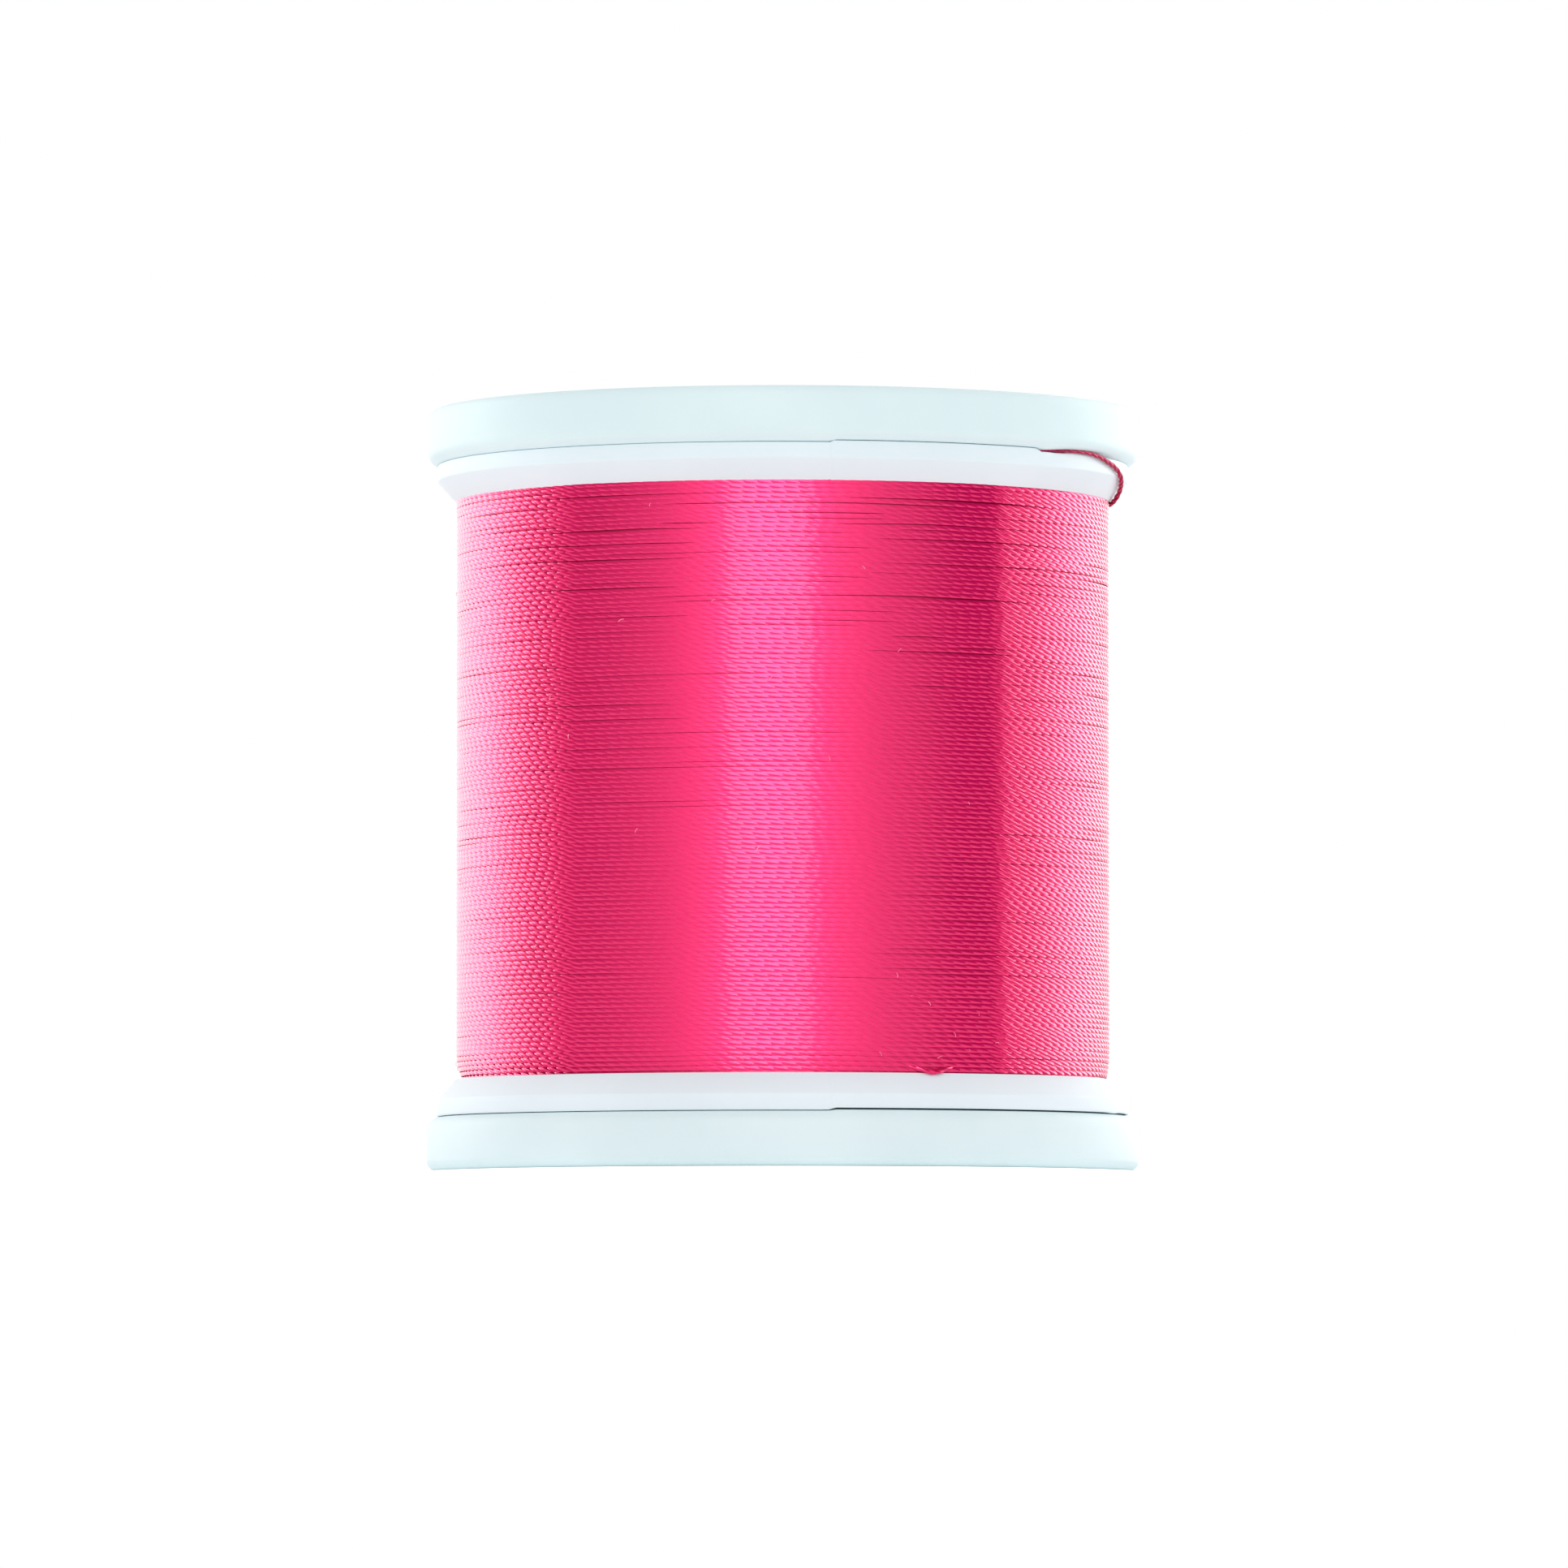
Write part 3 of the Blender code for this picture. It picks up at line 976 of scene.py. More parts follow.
GAPS = (
    Gap(-33, 25.05, 14, 0.06),
    Gap(-17, 25.2, 5, 0.04),
    Gap(-38, 24.9, 3, 0.04),
    Gap(-21, 24.45, 6, 0.04),
    Gap(29, 22.3, 15, 0.07),
    Gap(24, 20.85, 5, 0.035),
    Gap(33, 20.23, 12, 0.055),
    Gap(38, 20.4, 6, 0.035),
    Gap(62, 19.67, 18, 0.045),
    Gap(-62, 19.67, 18, 0.045),
    Gap(-9, 19.3, 4, 0.035),
    Gap(27, 18.86, 5, 0.03),
    Gap(58, 13.2, 16, 0.04),
    Gap(40, 26.1, 12, 0.05),
    Gap(12, 25.7, 9, 0.04),
    Gap(-8, 26.0, 8, 0.04),
    Gap(140, 21.4, 16, 0.05),
    Gap(-130, 16.2, 14, 0.05),
    Gap(178, 10.4, 12, 0.05),
)


@dataclass
class Winding:
    """The outer layer of the winding: one thread in turns that lie side by side, over the layers below.

    A turn's section is a low vault with a shoulder at both sides. Its crease and shoulder are shares of the
    thread, with their own values for the spool's front and back. The push that moves turns up and down is a
    noise that is stronger in patches and towards the top, and the gaps are added to it.
    """

    thread_finish: Material
    turns: int = 122
    lengths: int = 6
    steps: int = 745
    last_angle: float = 97.0
    foot_overlap: float = 0.2
    top_overlap: float = 0.19
    crease: float = 0.76
    front_crease: float = 0.08
    sharpness: float = 0.5
    flatness: float = 2.0
    shoulder: float = 0.66
    front_shoulder: float = 0.89
    sideways: tuple[float, float] = (0.6, 0.74)
    press: float = 1.12
    give: float = 1.6
    free_width: float = 0.98
    end_reach: float = 0.4
    wander: float = 0.018
    wander_gain: float = 4.0
    wander_round: float = 1.7
    wander_height: float = 0.36
    patch_scale: tuple[float, float, float] = (0.9, 0.9, 0.11)
    patch_spread: tuple[float, float] = (0.42, 0.6)
    patch_gain: tuple[float, float] = (0.35, 1.3)
    rise_heights: tuple[float, float] = (17.0, 26.0)
    rise_gain: tuple[float, float] = (0.6, 2.2)
    gap_reach: float = 0.7
    relief: float = 0.03
    relief_round: float = 2.2
    relief_height: float = 0.5
    relief_from: float = 0.3
    slip: float = 0.14
    slip_scale: float = 15.0
    drift: float = 1.0
    drift_scale: float = 0.3
    upper_drop: float = -0.03
    lower_drop: float = 0.26
    drop_sway: float = 0.1
    drop_height: float = 1.2
    columns: int = 7
    seed: int = 11
    weld: float = 0.001
    row_margin: float = 0.05
    under_pitch: float = 0.195
    under_inner: float = 12.3
    under_ridges: tuple[float, float] = (12.95, 12.99)
    under_inset: float = 0.06
    under_edge: float = 0.02
    under_clearance: float = 0.05
    under_sides: int = 120
    under_sharp: float = 60.0

    def inputs(self) -> dict[str, object]:
        """Name the values that the tree takes.

        The first and the last turn run a little into the flanges, so that no gap shows beside them.

        Returns:
            The value of each input.
        """
        s = SIZES
        foot, top = s.winding_foot - self.foot_overlap, s.winding_top + self.top_overlap
        sizes = {
            "Pitch": (top - foot - s.thread) / self.turns,
            "Thread": s.thread,
            "Radius": s.winding,
            "Foot": foot,
            "Top": top,
            "Drift": self.drift,
            "Wander": self.wander,
            "Relief": self.relief,
            "Slip": self.slip,
            "Upper drop": self.upper_drop,
            "Lower drop": self.lower_drop,
            "Drop sway": self.drop_sway,
            "Drop height": self.drop_height,
        }
        return {
            "Turns": self.turns,
            "First turn": 0,
            **{name: size * MM for name, size in sizes.items()},
            "Last angle": math.radians(self.last_angle),
            "Crease": self.crease,
            "Front crease": self.front_crease,
            "Shoulder": self.shoulder,
            "Front shoulder": self.front_shoulder,
            "Sharpness": self.sharpness,
            "Flatness": self.flatness,
            "Press": self.press,
            "Give": -self.give,
            "Seed": float(self.seed),
            "Material": self.thread_finish,
        }

    def lift(self, node: Adder, given: Sockets, angle: Node, spot: Node, height: Node) -> Node:
        """Add the nodes that say how far a turn is pushed up or down at a place.

        Args:
            node: What adds a node to the tree.
            given: The tree's inputs.
            angle: The angle round the spool.
            spot: The sine and cosine of that angle, as a vector.
            height: The turn's even height.

        Returns:
            The node whose output is the push.
        """
        level = node(Op.MULTIPLY, height, 1 / (self.wander_height * MM))
        upright = node(COMBINE, given["Seed"], 0.0, level)
        at = node(Op.VECTOR_MULTIPLY_ADD, spot, (self.wander_round,) * 3, upright)
        noise = node(NOISE, {"Vector": at, "Scale": 1.0, "Detail": 0.0})
        patch_at = node(Op.VECTOR_MULTIPLY, at, self.patch_scale)
        patch = node(NOISE, {"Vector": patch_at, "Scale": 1.0, "Detail": 0.0})
        patch = node(MAP_RANGE, patch, *self.patch_spread, *self.patch_gain)
        rise = node(MAP_RANGE, height, *[limit * MM for limit in self.rise_heights], *self.rise_gain)
        push = node(Op.MULTIPLY, node(Op.SUBTRACT, noise, 0.5), node(Op.MULTIPLY, patch, rise))
        push = node(Op.MULTIPLY, push, node(Op.MULTIPLY, given["Wander"], self.wander_gain))
        for gap in GAPS:
            reach = 1 / (1 - math.cos(math.radians(gap.half_length)))
            turn = node(Op.COSINE, node(Op.SUBTRACT, angle, math.radians(gap.angle)))
            span = node(Op.EXPONENT, node(Op.MULTIPLY_ADD, turn, reach, -reach))
            above = node(Op.SUBTRACT, height, gap.height * MM)
            side = node(Op.SIGN, above)
            fade = node(Op.MULTIPLY, node(Op.ABSOLUTE, above), -1 / (self.gap_reach * MM))
            opened = node(Op.MULTIPLY, node(Op.MULTIPLY, side, span), node(Op.EXPONENT, fade))
            push = node(Op.MULTIPLY_ADD, opened, gap.opening / 2 * MM, push)
        return push

    def room(self, node: Adder, given: Sockets, half: Node, lower: Node, upper: Node) -> Node:
        """Add the nodes that say how wide a turn lies towards one neighbour.

        Turns that press on each other are wide and flat; where they part, each gets round again.

        Args:
            node: What adds a node to the tree.
            given: The tree's inputs.
            half: Half the thread's thickness.
            lower: The push of the lower turn of the two.
            upper: The push of the upper turn.

        Returns:
            The node whose output is that half of the turn's width.
        """
        opened = node(Op.SUBTRACT, upper, lower)
        wide = node(Op.MULTIPLY_ADD, opened, given["Give"], node(Op.MULTIPLY, half, given["Press"]))
        wide = node(Op.MAXIMUM, wide, node(Op.MULTIPLY, half, self.free_width))
        apart = node(Op.MULTIPLY, node(Op.ADD, given["Pitch"], opened), 0.5)
        return node(Op.MINIMUM, wide, node(Op.MULTIPLY, apart, given["Press"]))

    def surface(self, node: Adder, given: Sockets, half: Node, spot: Node, sine: Node, height: Node) -> Node:
        """Add the nodes that say how far out the thread's middle lies.

        The winding drops off towards both ends, at the lower end more at the left than at the right.

        Args:
            node: What adds a node to the tree.
            given: The tree's inputs.
            half: Half the thread's thickness.
            spot: The sine and cosine of the angle round the spool, as a vector.
            sine: The sine alone.
            height: The turn's even height.

        Returns:
            The node whose output is the radius.
        """
        sway = node(Op.MULTIPLY, given["Drop sway"], -1.0)
        drop = 0.0
        for edge, depth in (
            (node(Op.SUBTRACT, height, given["Foot"]), node(Op.MULTIPLY_ADD, sine, sway, given["Lower drop"])),
            (node(Op.SUBTRACT, given["Top"], height), given["Upper drop"]),
        ):
            share = node(Op.SUBTRACT, 1.0, node(Op.DIVIDE, edge, given["Drop height"]), use_clamp=True)
            drop = node(Op.MULTIPLY_ADD, node(Op.POWER, share, 2.0), depth, drop)
        level = node(Op.MULTIPLY, height, 1 / (self.relief_height * MM))
        dent_at = node(COMBINE, given["Seed"], 3.0, level)
        dent_at = node(Op.VECTOR_MULTIPLY_ADD, spot, (self.relief_round,) * 3, dent_at)
        dent = node(NOISE, {"Vector": dent_at, "Scale": 1.0, "Detail": 1.0})
        dent = node(Op.SUBTRACT, dent, self.relief_from, use_clamp=True)
        dent = node(Op.MULTIPLY, dent, given["Relief"])
        return node(Op.SUBTRACT, node(Op.SUBTRACT, given["Radius"], half), node(Op.ADD, drop, dent))

    def layout(self, node: Adder, given: Sockets, laid: Node, row: Node, column: Node) -> Node:
        """Add the nodes that keep a flat layout of the faces, with a row for each turn.

        Args:
            node: What adds a node to the tree.
            given: The tree's inputs.
            laid: The laid turns.
            row: The row in the grid that each point is in.
            column: Its column.

        Returns:
            The node whose output is the turns with their layout.
        """
        faces = node(Op.WHOLE_DIVIDE, node("GeometryNodeInputIndex"), self.columns - 1)
        turn = node(Op.WHOLE_DIVIDE, node(Op.WHOLE_SUBTRACT, faces, 1), self.steps)
        turn = node("ShaderNodeClamp", turn, 0.0, node(Op.WHOLE_SUBTRACT, given["Turns"], 1))
        turn = node("GeometryNodeFieldOnDomain", turn, data_type="FLOAT", domain="FACE")
        row, column = (
            node("GeometryNodeFieldOnDomain", number, data_type="FLOAT", domain="POINT")
            for number in (row, column)
        )
        u = node(Op.DIVIDE, node(Op.MULTIPLY_ADD, turn, -float(self.steps), row), self.steps + 2.0)
        v = node(Op.MULTIPLY_ADD, column, (1 - 2 * self.row_margin) / (self.columns - 1), self.row_margin)
        v = node(Op.DIVIDE, node(Op.ADD, v, turn), given["Turns"])
        uv = {"Geometry": laid, "Name": FRONT_UV, "Value": node(COMBINE, u, v, 0.0)}
        return node(STORE, uv, data_type="FLOAT2", domain="CORNER")

    def shaded(self, node: Adder, laid: Node) -> Node:
        """Add the nodes that shade the turns smooth, but for the two edges where the vault meets the back.

        Args:
            node: What adds a node to the tree.
            laid: The laid turns.

        Returns:
            The node whose output is the shaded turns.
        """
        ends = node("GeometryNodeInputMeshEdgeVertices").outputs
        here, there = (
            node(Op.WHOLE_MODULO, ends[f"Vertex Index {number}"], self.columns) for number in (1, 2)
        )
        lengthwise = node(COMPARE, {2: here, 3: there}, data_type="INT", operation="EQUAL")
        border = node(Op.WHOLE_MODULO, node(Op.WHOLE_MODULO, here, self.columns - 1), self.columns - 2)
        border = node(COMPARE, {2: border, 3: 0}, data_type="INT", operation="EQUAL")
        border = node("FunctionNodeBooleanMath", lengthwise, border, operation="AND")
        laid = node("GeometryNodeSetShadeSmooth", {"Geometry": laid, "Shade Smooth": True})
        sharp = {"Geometry": laid, "Selection": border, "Shade Smooth": False}
        return node("GeometryNodeSetShadeSmooth", sharp, domain="EDGE")

    def tree(self) -> Tree:
        """Build the Geometry Nodes tree that lays the turns.

        The mesh starts as a grid: a row for each step along the thread, and a column for each line along
        its outer side. The last column closes the thread at its back, and the first and last rows its ends.

        Returns:
            The tree.
        """
        tree, node, given = new_tree("wound_turns", "Turns mesh", self.inputs())
        last = node(Op.WHOLE_MULTIPLY, given["Turns"], self.steps)
        grid = node("GeometryNodeMeshGrid", 1.0, 1.0, node(Op.WHOLE_ADD, last, 3), self.columns)
        index = node("GeometryNodeInputIndex")
        row = node(Op.WHOLE_DIVIDE, index, self.columns)
        column = node(Op.WHOLE_MODULO, index, self.columns)
        step = node("ShaderNodeClamp", node(Op.SUBTRACT, row, 1.0), 0.0, last)
        turn = node(Op.ADD, node(Op.DIVIDE, step, self.steps), given["First turn"])

        # Where the thread's middle is; a noise swings by a half, so that twice it is the whole slip
        slips = []
        for at, scale, detail, reach in (
            (node(Op.ADD, turn, given["Seed"]), self.slip_scale, 1.0, given["Slip"]),
            (turn, self.drift_scale, 0.0, given["Drift"]),
        ):
            slip = node(NOISE, {"W": at, "Scale": scale, "Detail": detail}, noise_dimensions="1D")
            slips.append(node(Op.MULTIPLY, node(Op.SUBTRACT, slip, 0.5), reach))
        slip = node(Op.MULTIPLY, node(Op.ADD, *slips), 2 / (SIZES.winding * MM))
        angle = node(Op.ADD, node(Op.MULTIPLY_ADD, turn, -math.tau, given["Last angle"]), slip)
        sine = node(Op.SINE, angle)
        cosine = node(Op.COSINE, angle)
        spot = node(COMBINE, sine, cosine, 0.0)
        half = node(Op.MULTIPLY, given["Thread"], 0.5)
        height = node(Op.MULTIPLY_ADD, turn, given["Pitch"], node(Op.ADD, given["Foot"], half))
        lifts = []
        for neighbour in (-1.0, 0.0, 1.0):
            there = node(Op.MULTIPLY_ADD, given["Pitch"], neighbour, height)
            lifts.append(self.lift(node, given, angle, spot, there))
        rooms = [self.room(node, given, half, *pair) for pair in (lifts[:2], lifts[1:])]
        radius = self.surface(node, given, half, spot, sine, height)

        # The section: two plies that wind round each other, a fifth of half a round for each step
        spans = self.columns - 2
        across = node(Op.WHOLE_MODULO, column, self.columns - 1)
        across = node(Op.MULTIPLY_ADD, across, 2 / spans, -1.0)
        side = node(Op.MULTIPLY, across, math.pi / 2)
        ply = node(Op.MULTIPLY_ADD, step, -math.pi / spans, side)
        crown = node(Op.POWER, node(Op.ABSOLUTE, node(Op.COSINE, ply)), given["Sharpness"])
        # The plies and the turns' shoulders hardly show at the front, and stand out towards the sides
        aside = node(MAP_RANGE, node(Op.ABSOLUTE, sine), *self.sideways, 0.0, 1.0,
                     interpolation_type="SMOOTHSTEP")
        crease, shoulder = (
            node(MAP_RANGE, aside, 0.0, 1.0, given[f"Front {name.lower()}"], given[name])
            for name in ("Crease", "Shoulder")
        )
        reach = node(Op.MULTIPLY, node(Op.SUBTRACT, 1.0, crown), crease)
        reach = node(Op.SUBTRACT, 1.0, reach)
        inside = node(COMPARE, {2: row, 3: 0}, data_type="INT", operation="GREATER_THAN")
        last_row = node(Op.WHOLE_ADD, last, 2)
        before = node(COMPARE, {2: row, 3: last_row}, data_type="INT", operation="LESS_THAN")
        open_row = node(Op.MULTIPLY, inside, before)
        reach = node(Op.MULTIPLY, reach, open_row)
        up = node(Op.MULTIPLY, node(Op.MAXIMUM, across, 0.0), rooms[1])
        down = node(Op.MULTIPLY, node(Op.MINIMUM, across, 0.0), rooms[0])
        up = node(Op.MULTIPLY, node(Op.ADD, up, down), open_row)
        # Pressed against its neighbours, a turn is a low vault with a shoulder at both sides
        vault = node(Op.POWER, node(Op.ABSOLUTE, across), given["Flatness"])
        vault = node(MAP_RANGE, vault, 0.0, 1.0, 1.0, shoulder)
        out = node(Op.MULTIPLY, node(Op.MULTIPLY, vault, half), reach)
        shut = node(Op.MULTIPLY, node(Op.SUBTRACT, 1.0, open_row), node(Op.MULTIPLY, half, self.end_reach))
        out = node(Op.ADD, radius, node(Op.ADD, out, shut))
        position = node(
            COMBINE,
            node(Op.MULTIPLY, out, sine),
            node(Op.MULTIPLY, node(Op.MULTIPLY, out, cosine), -1.0),
            node(Op.ADD, node(Op.ADD, height, lifts[1]), up),
        )
        laid = node("GeometryNodeSetPosition", {"Geometry": grid, "Position": position})

        # What the finish reads: the place across the ply, and along the thread in millimetres
        along = node(Op.MULTIPLY, turn, math.tau * SIZES.winding)
        strand = node(COMBINE, node(Op.MULTIPLY, ply, 1 / math.tau), along, 0.0)
        strand = {"Geometry": laid, "Name": STRAND, "Value": strand}
        laid = node(STORE, strand, data_type="FLOAT_VECTOR", domain="POINT")
        laid = self.shaded(node, self.layout(node, given, laid, row, column))
        laid = node("GeometryNodeMergeByDistance", {"Geometry": laid, "Distance": self.weld * MM})
        laid = node("GeometryNodeTriangulate", {"Mesh": laid}, quad_method="FIXED")
        end_tree(node, given, laid)
        return tree

    def under_layers(self) -> None:
        """Build the ring of turns under the outer layer, which shows dark in its gaps."""
        s = SIZES
        low, high = s.winding_foot + self.under_inset, s.winding_top - self.under_inset
        ridges = 2 * int((high - low) / self.under_pitch)
        inner = s.barrel + self.under_clearance
        profile: Profile = [(inner, high), (self.under_inner, high)]
        for number in range(ridges + 1):
            z = high - self.under_edge - (high - low - 2 * self.under_edge) * number / ridges
            share = max(0.0, 1 - (z - s.winding_foot) / self.drop_height)
            drop = (self.lower_drop + self.drop_sway) * share**2
            profile.append((self.under_ridges[number % 2] - drop, z))
        profile += [(self.under_inner, low), (inner, low)]
        mesh = turned(profile, evenly(self.under_sides))
        place("thread_under_layers", mesh, self.thread_finish, Body.SPOOL,
              ["thread_inner_layers"], self.under_sharp)

    def build(self) -> None:
        """Lay the turns, length by length, and put them in place of their CAD node."""
        tree = self.tree()
        ends = [round(self.turns * number / self.lengths) for number in range(self.lengths + 1)]
        for number in range(self.lengths):
            name = f"wound_thread_{number + 1}"
            base = new_object(name + "_base", bpy.data.meshes.new(name + "_base"))
            given = self.inputs() | {"Turns": ends[number + 1] - ends[number], "First turn": ends[number]}
            mesh = grown(base, tree, given)
            place(name, mesh, self.thread_finish, Body.SPOOL, ["thread_outer_layer"], None)
        self.under_layers()


def smooth_route(rows: Sequence[Sequence[float]], steps: int) -> list[tuple[Vector, float]]:
    """A smooth line through rows of angle, radius, height and share of the thickness.

    Args:
        rows: Angle in degrees, radius and height in millimetres, and share.
        steps: How many parts each stretch between two rows is divided into.

    Returns:
        The line's points in metres, each with its share.
    """
    table = np.array(rows)
    table = np.vstack((2 * table[0] - table[1], table, 2 * table[-1] - table[-2]))
    points = []
    for a, b, c, d in zip(table, table[1:], table[2:], table[3:]):
        for step in range(steps):
            t = step / steps
            row = 0.5 * (2 * b + (c - a) * t + (2 * a - 5 * b + 4 * c - d) * t**2 + (3 * b - a - 3 * c + d) * t**3)
            points.append((around(*row[:3]), row[3]))
    return [*points, (around(*rows[-1][:3]), rows[-1][3])]


@dataclass
class PliedCord:
    """A length of the two-ply thread along a route, with its real twist."""

    thread_finish: Material
    thickness: float = SIZES.thread
    twist: float = 1.1
    twist_steps: int = 14
    crease: float = 0.34
    around_steps: int = 20
    strand_layer: float = 5.0

    def inputs(self) -> dict[str, object]:
        """Name the values that the tree takes.

        Returns:
            The value of each input.
        """
        return {
            "Thickness": self.thickness * MM,
            "Twist": self.twist * MM,
            "Crease": self.crease,
            "Step": self.twist / self.twist_steps * MM,
            "Material": self.thread_finish,
        }

    def tree(self) -> Tree:
        """Build the Geometry Nodes tree that sweeps the two plies along a curve.

        Returns:
            The tree.
        """
        tree, node, given = new_tree("plied_cord", "Cord", self.inputs(), "Route")
        route = {"Curve": given["Route"], "Length": given["Step"]}
        route = node("GeometryNodeResampleCurve", route, mode="LENGTH")
        length = node("GeometryNodeSplineParameter").outputs["Length"]
        tilt = node(Op.MULTIPLY, node(Op.DIVIDE, length, given["Twist"]), math.tau)
        route = node("GeometryNodeSetCurveTilt", {"Curve": route, "Tilt": tilt})
        circle = node("GeometryNodeCurvePrimitiveCircle", {"Resolution": self.around_steps, "Radius": 1.0})
        ply = node(Op.MULTIPLY, node("GeometryNodeInputIndex"), math.tau / self.around_steps)
        cosine, sine = node(Op.COSINE, ply), node(Op.SINE, ply)
        reach = node(Op.MULTIPLY, node(Op.SUBTRACT, 1.0, node(Op.ABSOLUTE, cosine)), given["Crease"])
        reach = node(Op.SUBTRACT, 1.0, reach)
        reach = node(Op.MULTIPLY, reach, node(Op.MULTIPLY, given["Thickness"], 0.5))
        position = node(COMBINE, node(Op.MULTIPLY, cosine, reach), node(Op.MULTIPLY, sine, reach), 0.0)
        section = node("GeometryNodeSetPosition", {"Geometry": circle, "Position": position})
        captured = []
        for line, name, value in ((route, "Along", length), (section, "Ply", ply)):
            line = node("GeometryNodeCaptureAttribute", {"Geometry": line})
            line.capture_items.new("FLOAT", name)
            fill(tree, line, {1: value})
            captured.append(line.outputs)
        (route, along), (section, ply) = ((sockets[0], sockets[1]) for sockets in captured)
        cord = node("GeometryNodeCurveToMesh", {"Curve": route, "Profile Curve": section, "Fill Caps": True})
        if "Scale" in cord.inputs:
            fill(tree, cord, {"Scale": node("GeometryNodeInputRadius")})
        strand = node(
            COMBINE, node(Op.MULTIPLY, ply, 1 / math.tau), node(Op.MULTIPLY, along, 1 / MM), self.strand_layer
        )
        strand = {"Geometry": cord, "Name": STRAND, "Value": strand}
        cord = node(STORE, strand, data_type="FLOAT_VECTOR", domain="POINT")
        cord = node("GeometryNodeSetShadeSmooth", {"Geometry": cord, "Shade Smooth": True})
        end_tree(node, given, cord)
        return tree

    def build(self, name: str, points: Sequence[tuple[Vector, float]], nodes: Sequence[str] = ()) -> None:
        """Build a cord.

        Args:
            name: The piece's name.
            points: The points of its line in metres, each with its share of the thickness.
            nodes: The CAD nodes that it stands for.
        """
        line = bpy.data.curves.new(name + "_route", "CURVE")
        line.dimensions = "3D"
        spline = line.splines.new("POLY")
        spline.points.add(len(points) - 1)
        for point, (at, share) in zip(spline.points, points):
            point.co, point.radius = (*at, 1.0), share
        mesh = grown(new_object(name + "_route", line), self.tree(), self.inputs())
        place(name, mesh, self.thread_finish, Body.SPOOL, nodes, None)


# The loose end, from the last turn at the right, up the flange's slope and rim, and in under the cap, where
# it is pinched thin: angle, radius, height and share of its thickness
LOOSE_END = (
    (97.0, 12.7, 26.8, 1.0), (94.0, 12.86, 26.81, 1.0), (91.0, 13.04, 26.83, 1.0), (88.0, 13.22, 26.86, 1.0),
    (84.7, 13.42, 26.98, 1.0), (82.3, 13.62, 27.2, 1.0), (80.3, 13.74, 27.36, 1.0), (78.4, 13.84, 27.48, 1.0),
    (76.2, 13.95, 27.61, 1.0), (74.4, 14.02, 27.76, 1.0), (72.8, 14.02, 27.92, 1.0), (70.4, 14.02, 28.07, 1.0),
    (67.2, 14.02, 28.2, 1.0), (64.5, 14.03, 28.31, 0.95), (61.7, 14.03, 28.385, 0.88), (59.0, 14.02, 28.42, 0.78),
    (56.5, 14.0, 28.42, 0.68), (54.0, 13.97, 28.405, 0.58), (51.5, 13.92, 28.38, 0.5), (49.0, 13.83, 28.355, 0.48),
    (46.5, 13.69, 28.34, 0.48), (43.0, 13.58, 28.33, 0.5), (38.0, 13.45, 28.31, 0.6), (30.0, 13.25, 28.28, 0.8),
    (18.0, 13.0, 28.24, 1.0), (4.0, 12.8, 28.235, 1.0), (-18.0, 12.55, 28.235, 1.0), (-45.0, 12.35, 28.235, 1.0),
)
# A slack turn that bulges over the winding's lower edge
SLACK_LOOP = (
    (20.5, 12.84, 3.98, 1.0), (23.0, 13.02, 3.9, 1.0), (24.8, 13.18, 3.77, 1.0), (26.6, 13.27, 3.69, 1.0),
    (28.4, 13.18, 3.77, 1.0), (30.2, 13.02, 3.9, 1.0), (32.7, 12.84, 3.98, 1.0),
)


